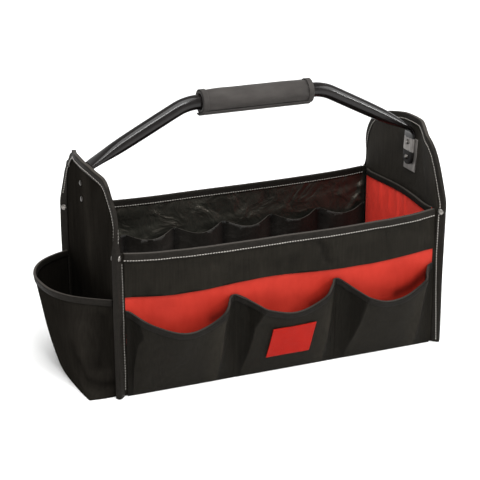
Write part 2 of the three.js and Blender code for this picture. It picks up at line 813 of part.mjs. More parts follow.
function bentLine(corners) {
  const line = [];
  corners.forEach(({ point, radius, steps }, i) => {
    if (!radius) {
      line.push(point.clone());
      return;
    }
    const before = corners[i - 1].point.clone().sub(point).normalize();
    const after = corners[i + 1].point.clone().sub(point).normalize();
    const half = before.angleTo(after) / 2;
    const tangent = radius / Math.tan(half);
    const centre = before.clone().add(after).normalize().multiplyScalar(radius / Math.sin(half)).add(point);
    const start = point.clone().addScaledVector(before, tangent).sub(centre);
    const end = point.clone().addScaledVector(after, tangent).sub(centre);
    for (const share of range(steps)) {
      const turn = start.clone().lerp(end, share).normalize().multiplyScalar(radius);
      line.push(turn.add(centre));
    }
  });
  return line;
}

// Half of the tube's line from the middle of the grip to the foot of the tongue. At each station, flat
// is how far the round tube is pressed to the tongue's section, and narrow rounds the tongue's foot.
function handleStations(side) {
  const top = new THREE.Vector3(handleShift, 0, handleHeight);
  const bend = new THREE.Vector3(handleShift + (side * handleTopSpan) / 2, 0, handleHeight);
  const knee = endInnerPoint(side, legFootHeight, tongueInward);
  const foot = endInnerPoint(side, tongueFoot, tongueInward);
  const line = bentLine([
    { point: top },
    { point: bend, radius: handleBendRadius, steps: bendSteps },
    { point: knee, radius: tongueBendRadius, steps: kneeSteps },
    { point: foot },
  ]);
  const upper = line.slice(0, bendSteps + 2).map((point) => ({ point, flat: 0, narrow: 1 }));
  const kneeArc = line.slice(bendSteps + 2, bendSteps + kneeSteps + 3);
  const leg = legRows.map(({ down, flat }) => ({
    point: line[bendSteps + 1].clone().lerp(kneeArc[0], down),
    flat,
    narrow: 1,
  }));
  const bent = kneeArc.map((point, i) => {
    const flat = THREE.MathUtils.lerp(kneeFlatness, 1, Math.min(1, (2 * i) / kneeSteps));
    return { point, flat, narrow: 1 };
  });
  const tongue = tongueRows.map(({ down, narrow }) => ({
    point: kneeArc[kneeSteps].clone().lerp(foot, down),
    flat: 1,
    narrow,
  }));
  return [...upper, ...leg, ...bent, ...tongue];
}

function handleRing(side, stations, i) {
  const { point, flat, narrow } = stations[i];
  const before = stations[Math.max(i - 1, 0)].point;
  const after = stations[Math.min(i + 1, stations.length - 1)].point;
  const along = i === 0 ? new THREE.Vector3(side, 0, 0) : after.clone().sub(before).normalize();
  const across = new THREE.Vector3(0, 1, 0);
  const normal = new THREE.Vector3().crossVectors(along, across).multiplyScalar(side);
  const halfWide = THREE.MathUtils.lerp(tubeRadius, tongueWidth / 2, flat) * narrow;
  const halfThick = THREE.MathUtils.lerp(tubeRadius, tongueThickness / 2, flat);
  const squareness = 1 - tongueSquareness * flat;
  const squared = (value) => Math.sign(value) * Math.abs(value) ** squareness;
  return range(tubeSides).slice(0, tubeSides).map((turn) => {
    const angle = turn * 2 * Math.PI;
    const offset = across.clone().multiplyScalar(squared(Math.cos(angle)) * halfWide);
    return offset.addScaledVector(normal, squared(Math.sin(angle)) * halfThick).add(point);
  });
}

function makeHandleTube() {
  const [left, right] = [-1, 1].map((side) => {
    const stations = handleStations(side);
    return stations.map((_, i) => handleRing(side, stations, i));
  });
  const rings = [...left.slice(1).reverse(), ...right];
  const holes = [...handleRivetHoles(-1), ...handleRivetHoles(1)];
  addMesh("handle_tube", cutAll(ringSolid(rings), holes), materials.paintedTube);
}

function sleeve(innerRadius, outerRadius, from, to, swell = 0) {
  const middle = (from + to) / 2;
  const profile = [
    new THREE.Vector2(innerRadius, from),
    new THREE.Vector2(outerRadius, from),
    new THREE.Vector2(outerRadius + swell, middle),
    new THREE.Vector2(outerRadius, to),
    new THREE.Vector2(innerRadius, to),
    new THREE.Vector2(innerRadius, from),
  ];
  const turned = new THREE.LatheGeometry(profile, gripSides);
  return layAlong(turned, new THREE.Vector3(handleShift, 0, handleHeight), new THREE.Vector3(1, 0, 0));
}

function makeGrip() {
  const half = gripLength / 2;
  const bore = tubeRadius + seatGap;
  addMesh("grip_sleeve", sleeve(bore, gripRadius, -half, half, gripSwell), materials.gripCloth);
  const hemInner = gripRadius + seatGap;
  const hemOuter = hemInner + hemCloth;
  addMesh("grip_hem_left", sleeve(hemInner, hemOuter, -half, -half + hemWidth), materials.gripCloth);
  addMesh("grip_hem_right", sleeve(hemInner, hemOuter, half - hemWidth, half), materials.gripCloth);
  // The sleeve's free edge laps under the grip, and sticks out a little on the left
  const lapRadius = hemOuter + seatGap + flapCloth / 2;
  const grid = range(8).map((along) =>
    range(6).map((share) => {
      const angle = THREE.MathUtils.degToRad(flapStartAngle + flapTurnAngle * share);
      const x = handleShift - half - flapOverhang + along * (gripLength + flapOverhang - hemWidth / 2);
      return new THREE.Vector3(x, Math.cos(angle) * lapRadius, handleHeight + Math.sin(angle) * lapRadius);
    }),
  );
  addMesh("grip_flap", clothWall(grid, flapCloth), materials.gripCloth);
}

function makeHandlePlates() {
  for (const [name, side] of [["left", -1], ["right", 1]]) {
    const axis = endInnerAxis(side);
    const along = endInnerPoint(side, plateTop, 0).sub(endInnerPoint(side, plateFoot, 0));
    const plate = new THREE.BoxGeometry(plateWidth, plateThickness, along.length());
    const across = new THREE.Vector3(0, 1, 0);
    const basis = new THREE.Matrix4().makeBasis(across, axis, new THREE.Vector3().crossVectors(across, axis));
    const centre = endInnerPoint(side, (plateTop + plateFoot) / 2, seatGap + plateThickness / 2);
    plate.applyMatrix4(basis).translate(centre.x, centre.y, centre.z);
    addMesh(`handle_plate_${name}`, cutAll(plate, handleRivetHoles(side)), materials.steel);
  }
}

function makeRivets() {
  for (const { name, centre, axis } of cornerRivets) {
    addMesh(name, layAlong(rivetGeometry(finGripped, rivetCap), centre, axis), materials.steel);
  }
  for (const { name, centre, axis, gripped } of handleRivets) {
    addMesh(name, layAlong(rivetGeometry(gripped, handleRivetCap), centre, axis), materials.steel);
  }
}

makeBase();
makeWalls();
makeFrontBand();
makeEndPanels();
makeRimTapes();
makeFrontPockets();
makeLabel();
makeSidePocket();
makeSidePocketBase();
makeInnerPockets();
makeEndPocket();
makeHandleTube();
makeGrip();
makeHandlePlates();
makeRivets();

export default bag;
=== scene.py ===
import math

import bmesh
import bpy
from mathutils import Matrix, Vector, noise
from mathutils.bvhtree import BVHTree


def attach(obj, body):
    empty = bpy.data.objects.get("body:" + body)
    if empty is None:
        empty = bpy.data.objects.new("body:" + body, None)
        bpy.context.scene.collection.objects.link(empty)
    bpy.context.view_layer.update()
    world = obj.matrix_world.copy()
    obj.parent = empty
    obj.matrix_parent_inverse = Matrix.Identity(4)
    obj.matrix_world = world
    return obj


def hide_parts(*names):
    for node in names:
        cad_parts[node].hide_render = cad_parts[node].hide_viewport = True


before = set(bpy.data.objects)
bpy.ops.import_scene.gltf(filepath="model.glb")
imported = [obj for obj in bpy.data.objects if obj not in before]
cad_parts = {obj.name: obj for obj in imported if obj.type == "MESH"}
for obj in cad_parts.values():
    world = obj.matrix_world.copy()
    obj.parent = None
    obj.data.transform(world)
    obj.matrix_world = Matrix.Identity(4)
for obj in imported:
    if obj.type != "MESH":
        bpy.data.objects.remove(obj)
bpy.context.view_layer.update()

# Metres, +Z up, the bag's front towards -Y, as the frame has it
mm = 0.001


def newObject(name, data):
    made = bpy.data.objects.new(name, data)
    bpy.context.scene.collection.objects.link(made)
    return made


# Camera at the photo's angle, aimed through the bag's middle
camera = {
    "aim": (-18.07 * mm, 0, 145 * mm),
    "azimuth": -22.89,
    "elevation": 20.2,
    "distance": 2.0,
    "lens": 112.93,
    "sensor": 36,
}


def makeCamera():
    azimuth = math.radians(camera["azimuth"])
    elevation = math.radians(camera["elevation"])
    level = math.cos(elevation)
    back = Vector((math.sin(azimuth) * level, -math.cos(azimuth) * level, math.sin(elevation)))
    data = bpy.data.cameras.new("camera")
    data.lens = camera["lens"]
    data.sensor_width = camera["sensor"]
    eye = newObject("camera", data)
    eye.location = Vector(camera["aim"]) + back * camera["distance"]
    eye.rotation_euler = back.to_track_quat("Z", "Y").to_euler()
    bpy.context.scene.camera = eye


makeCamera()
print("camera ready")


# Materials

def newFinish(name):
    material = bpy.data.materials.new(name)
    material.use_nodes = True
    shader = material.node_tree.nodes["Principled BSDF"]
    return material, material.node_tree, shader


def addNode(tree, kind, inputs, **settings):
    # inputs: socket name or number to a value, or to the socket that feeds it
    node = tree.nodes.new(f"ShaderNode{kind}")
    for key, value in settings.items():
        setattr(node, key, value)
    for key, value in inputs.items():
        if isinstance(value, bpy.types.NodeSocket):
            tree.links.new(value, node.inputs[key])
        else:
            node.inputs[key].default_value = value
    return node


def arithmetic(tree, operation, first, second=0.0):
    return addNode(tree, "Math", {0: first, 1: second}, operation=operation).outputs[0]


def noiseAt(tree, place, scale, detail, distortion=0.0):
    inputs = {"Vector": place, "Scale": scale, "Detail": detail, "Distortion": distortion}
    return addNode(tree, "TexNoise", inputs).outputs["Fac"]


# Weave, streaks and creases that every cloth has
weaving = {
    "sideways": 0.72,  # a face turned further to a side than this is mapped along Y
    "level": 0.75,  # and so is one that lies flatter than this
    "waveDistortion": 0.4,
    "waveDetail": 1.0,
    "base": 0.1,
    "streakShare": 0.55,
    "streakDetail": 3.0,
    "cloudShare": 0.35,
    "cloudScale": 14.0,
    "cloudDetail": 4.0,
    "darkAt": 0.3,
    "lightAt": 0.85,
    # Where the painted highlight on faces turned up begins, and where it is full
    "wornFrom": 0.72,
    "wornTo": 0.97,
    "roughnessSpread": 0.07,
    "sheenRoughness": 0.45,
    "threadStrength": 0.6,
    "creaseDetail": 3.0,
    "creaseDistortion": 0.8,
}

# Marks that every metal has
marking = {
    "detail": 4.0, "darkAt": 0.35, "lightAt": 0.7, "smoother": 0.05, "rougher": 0.08, "strength": 0.5,
}


def turnedPast(tree, facing, limit):
    return arithmetic(tree, "GREATER_THAN", arithmetic(tree, "ABSOLUTE", facing), limit)


def flatCoordinates(tree):
    # Two coordinates that lie in the cloth's face: across it, and up it or back over it
    coordinates = addNode(tree, "TexCoord", {})
    place = addNode(tree, "SeparateXYZ", {0: coordinates.outputs["Object"]})
    facing = addNode(tree, "SeparateXYZ", {0: coordinates.outputs["Normal"]})
    sideways = turnedPast(tree, facing.outputs[0], weaving["sideways"])
    level = turnedPast(tree, facing.outputs[2], weaving["level"])
    across = addNode(tree, "Mix", {0: sideways, 2: place.outputs[0], 3: place.outputs[1]})
    upward = addNode(tree, "Mix", {0: level, 2: place.outputs[2], 3: place.outputs[1]})
    joined = addNode(tree, "CombineXYZ", {0: across.outputs[0], 1: upward.outputs[0]})
    return joined.outputs[0], coordinates.outputs["Object"]


def darkToLight(tree, amount, look, shared):
    ramp = addNode(tree, "ValToRGB", {0: amount})
    for element, shade in zip(ramp.color_ramp.elements, ("dark", "light")):
        element.position = shared[f"{shade}At"]
        element.color = (*look[shade], 1)
    return ramp.outputs[0]


def uneven(tree, shader, amount, smoothest, roughest):
    rough = addNode(tree, "MapRange", {"Value": amount, "To Min": smoothest, "To Max": roughest})
    tree.links.new(rough.outputs[0], shader.inputs["Roughness"])


def wovenFinish(name, look):
    material, tree, shader = newFinish(name)
    flat, place = flatCoordinates(tree)
    pitch = look["threadPitch"]
    bands = []
    for direction in ("X", "Y"):
        inputs = {
            "Vector": flat, "Scale": math.pi / (10 * pitch),
            "Distortion": weaving["waveDistortion"], "Detail": weaving["waveDetail"],
        }
        wave = addNode(tree, "TexWave", inputs, bands_direction=direction)
        bands.append(wave.outputs["Fac"])
    checks = addNode(tree, "TexChecker", {"Vector": flat, "Scale": 1 / (2 * pitch)})
    mixed = addNode(tree, "Mix", {0: checks.outputs["Fac"], 2: bands[0], 3: bands[1]})
    weave = mixed.outputs[0]
    stretched = addNode(tree, "Mapping", {"Vector": place, "Scale": look["streaks"]})
    streaks = noiseAt(tree, stretched.outputs[0], 1.0, weaving["streakDetail"])
    clouds = noiseAt(tree, place, weaving["cloudScale"], weaving["cloudDetail"])
    amount = weaving["base"]
    for pattern, share in (
        (streaks, weaving["streakShare"]),
        (clouds, weaving["cloudShare"]),
        (weave, look["threadContrast"]),
    ):
        amount = arithmetic(tree, "ADD", arithmetic(tree, "MULTIPLY", pattern, share), amount)
    colour = darkToLight(tree, amount, look, weaving)
    if "lit" in look:  # painted highlight: faces turned up, as a fold's top edge, are paler
        turned = addNode(tree, "TexCoord", {})
        facing = addNode(tree, "SeparateXYZ", {0: turned.outputs["Normal"]})
        edge = addNode(
            tree, "MapRange",
            {"Value": facing.outputs[2], "From Min": weaving["wornFrom"], "From Max": weaving["wornTo"]},
        )
        lit = (*look["lit"], 1)
        highlightedTop = addNode(tree, "Mix", {0: edge.outputs[0], 6: colour, 7: lit}, data_type="RGBA")
        colour = highlightedTop.outputs[2]
    # The piece's tone attribute scales the colour: mottle, painted highlights and painted shade
    tone = addNode(tree, "Attribute", {}, attribute_name="tone")
    share = arithmetic(tree, "ADD", tone.outputs["Fac"], 1.0)
    toned = addNode(tree, "VectorMath", {0: colour, "Scale": share}, operation="SCALE")
    tree.links.new(toned.outputs[0], shader.inputs["Base Color"])
    spread = weaving["roughnessSpread"]
    uneven(tree, shader, clouds, look["roughness"] - spread, look["roughness"] + spread)
    shader.inputs["Specular IOR Level"].default_value = look["gloss"]
    shader.inputs["Specular Tint"].default_value = (*look.get("glossTint", (1.0, 1.0, 1.0)), 1)
    shader.inputs["Sheen Weight"].default_value = look["sheen"]
    shader.inputs["Sheen Roughness"].default_value = weaving["sheenRoughness"]
    shader.inputs["Sheen Tint"].default_value = (*look["sheenTint"], 1)
    bump = addNode(
        tree, "Bump",
        {"Height": weave, "Distance": look["threadDepth"], "Strength": weaving["threadStrength"]},
    )
    detail, distortion = weaving["creaseDetail"], weaving["creaseDistortion"]
    creases = noiseAt(tree, place, look["creaseScale"], detail, distortion)
    soft = addNode(
        tree, "Bump", {"Height": creases, "Distance": look["creaseDepth"], "Normal": bump.outputs[0]}
    )
    tree.links.new(soft.outputs[0], shader.inputs["Normal"])
    return material


def metalFinish(name, look):
    material, tree, shader = newFinish(name)
    place = addNode(tree, "TexCoord", {}).outputs["Object"]
    grain = addNode(tree, "Mapping", {"Vector": place, "Scale": look["grain"]})
    marks = noiseAt(tree, grain.outputs[0], 1.0, marking["detail"])
    tree.links.new(darkToLight(tree, marks, look, marking), shader.inputs["Base Color"])
    roughness = look["roughness"]
    uneven(tree, shader, marks, roughness - marking["smoother"], roughness + marking["rougher"])
    shader.inputs["Metallic"].default_value = look["metallic"]
    shader.inputs["Specular IOR Level"].default_value = look["gloss"]
    bump = addNode(
        tree, "Bump", {"Height": marks, "Distance": look["depth"], "Strength": marking["strength"]}
    )
    tree.links.new(bump.outputs[0], shader.inputs["Normal"])
    return material


heavyWeave = {
    "sheen": 0.01, "sheenTint": (0.9, 0.85, 0.8), "threadPitch": 0.8 * mm, "threadDepth": 0.16 * mm,
    "threadContrast": 0.16, "streaks": (420, 420, 26), "creaseScale": 30.0, "creaseDepth": 1.2 * mm,
}
redWeave = {
    "sheen": 0.0, "sheenTint": (1.0, 0.7, 0.65), "threadPitch": 0.6 * mm, "threadDepth": 0.08 * mm,
    "threadContrast": 0.1, "streaks": (90, 90, 40), "creaseScale": 24.0, "creaseDepth": 1.0 * mm,
}
cloths = {
    "panelCloth": {
        **heavyWeave, "dark": (0.0055, 0.0048, 0.0040), "light": (0.0140, 0.0124, 0.0102),
        "roughness": 0.7, "gloss": 0.0, "sheen": 0.0,
    },
    # Painted light: a paler copy of the panel cloth, for the right end panel
    "panelInside": {
        **heavyWeave, "dark": (0.0112, 0.0098, 0.0080), "light": (0.0300, 0.0264, 0.0216),
        "roughness": 0.6, "gloss": 0.05,
    },
    "blackCloth": {
        **heavyWeave, "dark": (0.0048, 0.0043, 0.0032), "light": (0.0145, 0.0127, 0.0098),
        "roughness": 0.55, "gloss": 0.035,
    },
    "innerCloth": {
        **heavyWeave, "dark": (0.0070, 0.0062, 0.0052), "light": (0.0190, 0.0168, 0.0142),
        # lit: the colour of the painted highlight on faces turned up
        "lit": (0.040, 0.036, 0.031), "roughness": 0.5, "gloss": 0.2, "threadDepth": 0.12 * mm,
        "threadContrast": 0.12, "streaks": (200, 200, 26), "creaseScale": 40.0, "creaseDepth": 2.0 * mm,
    },
    "liningCloth": {
        "dark": (0.0085, 0.0086, 0.0070), "light": (0.0210, 0.0208, 0.0170),
        "roughness": 0.34, "gloss": 0.6, "glossTint": (1.0, 0.88, 0.74), "sheen": 0.03,
        "sheenTint": (0.9, 0.85, 0.8), "threadPitch": 0.5 * mm, "threadDepth": 0.05 * mm,
        "threadContrast": 0.06, "streaks": (60, 60, 60), "creaseScale": 34.0, "creaseDepth": 5.0 * mm,
    },
    "redCloth": {
        **redWeave, "dark": (0.31, 0.0150, 0.0075), "light": (0.42, 0.0270, 0.0150),
        "roughness": 0.6, "gloss": 0.14,
    },
    "redPatch": {
        **redWeave, "dark": (0.230, 0.0050, 0.0020), "light": (0.31, 0.0085, 0.0040),
        "roughness": 0.6, "gloss": 0.08, "threadPitch": 0.5 * mm, "threadDepth": 0.06 * mm,
        "creaseScale": 30.0, "creaseDepth": 1.6 * mm,
    },
    # Painted light: a far paler copy of the red cloth, for the red pocket inside the right end
    "redInside": {
        **redWeave, "dark": (0.78, 0.036, 0.022), "light": (0.95, 0.062, 0.042),
        "roughness": 0.5, "gloss": 0.3, "sheen": 0.03,
    },
    "edgeTape": {
        # lit: the colour of the painted highlight on faces turned up
        "dark": (0.0054, 0.0047, 0.0039), "light": (0.0145, 0.0127, 0.0106), "lit": (0.045, 0.040, 0.035),
        "roughness": 0.6, "gloss": 0.05, "sheen": 0.01, "sheenTint": (0.95, 0.9, 0.85),
        "threadPitch": 0.9 * mm, "threadDepth": 0.2 * mm, "threadContrast": 0.25,
        "streaks": (200, 200, 200), "creaseScale": 40.0, "creaseDepth": 0.5 * mm,
    },
    "gripCloth": {
        "dark": (0.0205, 0.0185, 0.0170), "light": (0.042, 0.038, 0.0355), "roughness": 0.8,
        "gloss": 0.15, "sheen": 0.1, "sheenTint": (0.95, 0.92, 0.9), "threadPitch": 0.8 * mm,
        "threadDepth": 0.12 * mm, "threadContrast": 0.12, "streaks": (60, 160, 160),
        "creaseScale": 45.0, "creaseDepth": 0.7 * mm,
    },
    "threadGrey": {
        "dark": (0.17, 0.158, 0.142), "light": (0.36, 0.34, 0.31), "roughness": 0.6, "gloss": 0.3,
        "sheen": 0.1, "sheenTint": (1.0, 1.0, 1.0), "threadPitch": 0.5 * mm, "threadDepth": 0.1 * mm,
        "threadContrast": 0.2, "streaks": (300, 300, 300), "creaseScale": 100.0, "creaseDepth": 0.1 * mm,
    },
}
rivet = {"metallic": 1.0, "gloss": 0.5, "grain": (400, 400, 400), "depth": 0.03 * mm}
metals = {
    "paintedTube": {
        "dark": (0.0040, 0.0032, 0.0030), "light": (0.0075, 0.0060, 0.0056), "roughness": 0.18,
        "metallic": 0.0, "gloss": 0.26, "grain": (60, 60, 60), "depth": 0.05 * mm,
    },
    "dullTube": {
        "dark": (0.0050, 0.0042, 0.0040), "light": (0.0090, 0.0075, 0.0070), "roughness": 0.5,
        "metallic": 0.0, "gloss": 0.12, "grain": (120, 120, 120), "depth": 0.05 * mm,
    },
    "plateSteel": {
        "dark": (0.17, 0.158, 0.148), "light": (0.29, 0.268, 0.252), "roughness": 0.45,
        "metallic": 0.45, "gloss": 0.5, "grain": (300, 300, 60), "depth": 0.06 * mm,
    },
    "rivetSteel": {
        **rivet, "dark": (0.13, 0.120, 0.110), "light": (0.30, 0.285, 0.265), "roughness": 0.28,
    },
    # A darker steel: painted shade for the rivets that cloth half hides
    "darkRivet": {
        **rivet, "dark": (0.030, 0.028, 0.025), "light": (0.090, 0.084, 0.078), "roughness": 0.35,
    },
}
finishes = {name: wovenFinish(name, look) for name, look in cloths.items()}
finishes.update({name: metalFinish(name, look) for name, look in metals.items()})
print("finishes ready")


# Cloth pieces: each is a finer copy of its node, merged, smoothed and bent by the folds near it
copying = {
    "mergeGap": 0.02 * mm,
    "faceAngle": 0.6,
    "shapeAngle": 0.9,
    "sharpAngle": 50,
    "shadeAngle": 45,
}


def mergedCopy(node):
    copy = bmesh.new()
    copy.from_mesh(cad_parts[node].data)
    bmesh.ops.remove_doubles(copy, verts=copy.verts, dist=copying["mergeGap"])
    bmesh.ops.join_triangles(
        copy, faces=copy.faces,
        angle_face_threshold=copying["faceAngle"], angle_shape_threshold=copying["shapeAngle"],
    )
    return copy


def creaseSharpEdges(copy, angle, crease):
    layer = copy.edges.layers.float.new("crease_edge")
    for edge in copy.edges:
        if edge.is_manifold and edge.calc_face_angle() > math.radians(angle):
            edge[layer] = crease


def settle(piece):
    # Makes the modifiers' result the piece's own mesh
    graph = bpy.context.evaluated_depsgraph_get()
    mesh = bpy.data.meshes.new_from_object(piece.evaluated_get(graph))
    piece.modifiers.clear()
    piece.data = mesh


def showPiece(name, copy, finish, nodes):
    mesh = bpy.data.meshes.new(name)
    copy.to_mesh(mesh)
    copy.free()
    piece = newObject(name, mesh)
    piece.data.materials.append(finishes[finish])
    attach(piece, "root")
    if nodes:
        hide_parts(*nodes)
    return piece


def subdivide(piece, levels):
    smooth = piece.modifiers.new("smooth", "SUBSURF")
    smooth.levels = levels
    smooth.render_levels = levels
    settle(piece)


def bendAndShade(piece, folds, angle):
    if folds:
        for vertex in piece.data.vertices:
            vertex.co += folds(vertex.co)
    piece.data.shade_smooth()
    piece.data.set_sharp_from_angle(angle=math.radians(angle))


def smoothCopy(
    node, name, finish, levels=2, crease=1.0, folds=None, sharpAngle=copying["sharpAngle"]
):
    copy = mergedCopy(node)
    creaseSharpEdges(copy, sharpAngle, crease)
    piece = showPiece(name, copy, finish, [node])
    subdivide(piece, levels)
    bendAndShade(piece, folds, copying["shadeAngle"])
    return piece


def clamp(value):
    return max(0.0, min(1.0, value))


def bell(gap, width):
    # 1 at no gap, and hardly anything beyond twice the width
    return math.exp(-((gap / width) ** 2))


def waves(amount, size, seed, stretch=(1, 0, 1)):
    # A soft irregular pattern: stretch is how much each axis counts in it
    return {"amount": amount, "size": size, "shift": (seed, seed * 0.7, 0), "stretch": stretch}


def rippleAt(place, look):
    spot = Vector([value * share for value, share in zip(place, look["stretch"])])
    return look["amount"] * noise.noise(spot / look["size"] + Vector(look["shift"]))


def alongPath(path, height):
    # The path's first coordinate where its second is height, held past its ends
    points = sorted(path, key=lambda point: point[1])
    if height <= points[0][1]:
        return points[0][0]
    for low, high in zip(points, points[1:]):
        if height <= high[1]:
            share = (height - low[1]) / (high[1] - low[1])
            return low[0] + (high[0] - low[0]) * share
    return points[-1][0]


def nearPath(path, across, up, width):
    # 1 on the path, falling to 0 beside it and past its ends
    best = 1e9
    for first, last in zip(path, path[1:]):
        start = Vector(first)
        run = Vector(last) - start
        share = clamp((Vector((across, up)) - start).dot(run) / run.length_squared)
        best = min(best, (start + run * share - Vector((across, up))).length)
    return bell(best, width)


def creasesAt(creases, across, up, widen=1.0):
    # Each crease is a path, a width and a depth in mm: the depth that they have together at a place
    return sum(depth * nearPath(path, across, up, width * widen) for path, width, depth in creases)


# Front wall, band and rim binding bend together
frontWall = {
    "wave": waves(3.0, 85 * mm, seed=3.1),
    "crumple": waves(1.1, 24 * mm, seed=7.7),
    "dents": [
        ([(47.7, 167.8), (53.5, 161.5), (56.7, 145.9), (62.5, 139.5)], 4.5, 3.4),
        ([(55, 172), (64, 160), (66, 148)], 6.0, -1.2),
        ([(-150, 172), (-128, 164), (-96, 166)], 9.0, 1.0),
        ([(120, 176), (150, 166), (186, 168)], 8.0, 0.9),
        ([(-60, 150), (-20, 146), (10, 152)], 9.0, 0.9),
    ],
}


def frontFolds(place):
    depth = rippleAt(place, frontWall["wave"]) + rippleAt(place, frontWall["crumple"])
    depth += creasesAt(frontWall["dents"], place.x / mm, place.z / mm)
    return Vector((0, depth * mm, 0))


# Back wall: its lining is loose and wrinkled
backWall = {
    "wave": waves(1.6, 80 * mm, seed=12.3),
    "liningFace": 103.5 * mm,
    "liningFade": 2 * mm,
    "flatFrom": 174 * mm,
    "flatFade": 7 * mm,
    "warp": waves(20 * mm, 60 * mm, seed=31.0),
    "folds": waves(1.0, 26 * mm, seed=5.0),
    "foldStretch": 0.55,
    "foldLevel": 0.35,
    "foldDepth": 3.2,
    "creases": [
        ([(-37, 137), (-5, 139), (30, 143), (70, 143), (101, 146)], 3.5, 2.6),
        ([(-37, 131), (20, 136), (90, 140)], 4.5, -1.6),
        ([(-28, 171), (-20, 160), (-13, 150)], 7.0, -3.0),
        ([(-40, 172), (-30, 158), (-8, 146)], 3.5, 2.2),
        ([(-175, 150), (-145, 135), (-95, 144)], 4.0, 2.2),
        ([(-170, 166), (-135, 156), (-120, 160)], 6.0, -2.2),
        ([(60, 176), (66, 160), (64, 148)], 6.0, -2.4),
        ([(130, 150), (151, 155), (195, 157)], 4.0, 2.2),
        ([(110, 172), (140, 166), (170, 171)], 6.0, -2.0),
    ],
}


# A slack sheet, held at its edges and let hang, gives the lining its wrinkles
liningSheet = {
    "halfWidth": 216 * mm,
    "foot": 60 * mm,
    "top": 186 * mm,
    "cell": 4.5 * mm,
    "edge": 1 * mm,
    "stir": waves(3 * mm, 36 * mm, seed=51.0, stretch=(1, 1, 1)),
    "slack": 0.07,
    "mass": 0.12,
    "tension": 12,
    "shear": 4,
    "bending": 0.02,
    "quality": 6,
    "frames": 36,
    "against": 0.5 * mm,
    "reach": 9 * mm,
}


def hangLining():
    look = liningSheet
    width = 2 * look["halfWidth"]
    height = look["top"] - look["foot"]
    columns = round(width / look["cell"])
    rows = round(height / look["cell"])
    sheet = bmesh.new()
    bmesh.ops.create_grid(sheet, x_segments=columns, y_segments=rows, size=0.5)
    bmesh.ops.scale(sheet, verts=sheet.verts, vec=(width, height, 1))
    bmesh.ops.rotate(sheet, verts=sheet.verts, matrix=Matrix.Rotation(math.pi / 2, 3, "X"))
    bmesh.ops.translate(sheet, verts=sheet.verts, vec=(0, 0, (look["foot"] + look["top"]) / 2))
    mesh = bpy.data.meshes.new("slackLining")
    sheet.to_mesh(mesh)
    sheet.free()
    rest = [vertex.co.copy() for vertex in mesh.vertices]
    for vertex in mesh.vertices:
        vertex.co.y += rippleAt(vertex.co, look["stir"])
    hung = newObject("slackLining", mesh)
    held = hung.vertex_groups.new(name="held")
    for index, place in enumerate(rest):
        atSide = abs(place.x) > look["halfWidth"] - look["edge"]
        atTop = place.z > look["top"] - look["edge"]
        atFoot = place.z < look["foot"] + look["edge"]
        if atSide or atTop or atFoot:
            held.add([index], 1.0, "REPLACE")
    cloth = hung.modifiers.new("cloth", "CLOTH")
    cloth.settings.quality = look["quality"]
    cloth.settings.mass = look["mass"]
    cloth.settings.tension_stiffness = look["tension"]
    cloth.settings.compression_stiffness = look["tension"]
    cloth.settings.shear_stiffness = look["shear"]
    cloth.settings.bending_stiffness = look["bending"]
    cloth.settings.shrink_min = -look["slack"]
    cloth.settings.vertex_group_mass = "held"
    cloth.collision_settings.use_collision = False
    cloth.point_cache.frame_end = look["frames"]
    for step in range(1, look["frames"] + 1):
        bpy.context.scene.frame_set(step)
    graph = bpy.context.evaluated_depsgraph_get()
    shaped = hung.evaluated_get(graph).to_mesh()
    depths = {}
    for place, vertex in zip(rest, shaped.vertices):
        column = round((place.x + look["halfWidth"]) / width * columns)
        row = round((place.z - look["foot"]) / height * rows)
        depths[column, row] = vertex.co.y
    bpy.context.scene.frame_set(1)
    bpy.data.objects.remove(hung)
    shallow, deep = (round(find(depths.values()) / mm, 1) for find in (min, max))
    print("lining hung, from", shallow, "to", deep, "mm")

    def depthAt(across, up):
        column = (across + look["halfWidth"]) / width * columns
        row = (up - look["foot"]) / height * rows
        if not (0 <= column < columns and 0 <= row < rows):
            return 0.0
        left, low = int(column), int(row)
        right, high = column - left, row - low
        value = (depths[left, low] * (1 - right) + depths[left + 1, low] * right) * (1 - high)
        value += (depths[left, low + 1] * (1 - right) + depths[left + 1, low + 1] * right) * high
        return max(-look["reach"], min(look["against"], value))

    return depthAt


liningDepth = hangLining()


def backFolds(place):
    # The creases' paths lie in the lining's face, seen from inside
    look = backWall
    depth = rippleAt(place, look["wave"])
    inside = clamp((look["liningFace"] - place.y) / look["liningFade"])
    if inside > 0:
        warp = rippleAt(place, look["warp"])
        folds = abs(rippleAt((place.x * look["foldStretch"] + warp, 0, place.z + warp), look["folds"]))
        wrinkles = -look["foldDepth"] * (look["foldLevel"] - folds)
        if liningDepth:
            wrinkles += liningDepth(place.x, place.z) / mm
        wrinkles -= creasesAt(look["creases"], place.x / mm, place.z / mm)
        depth += wrinkles * inside * clamp((look["flatFrom"] - place.z) / look["flatFade"])
    return Vector((0, depth * mm, 0))


# End panels and their bindings
endWaves = {
    "left": [
        waves(2.0, 110 * mm, seed=21.0, stretch=(0, 1, 0.6)),
        waves(0.5, 30 * mm, seed=25.0, stretch=(0, 1, 0.5)),
    ],
    "right": [
        waves(2.0, 110 * mm, seed=33.0, stretch=(0, 1, 0.6)),
        waves(0.5, 30 * mm, seed=37.0, stretch=(0, 1, 0.5)),
    ],
}

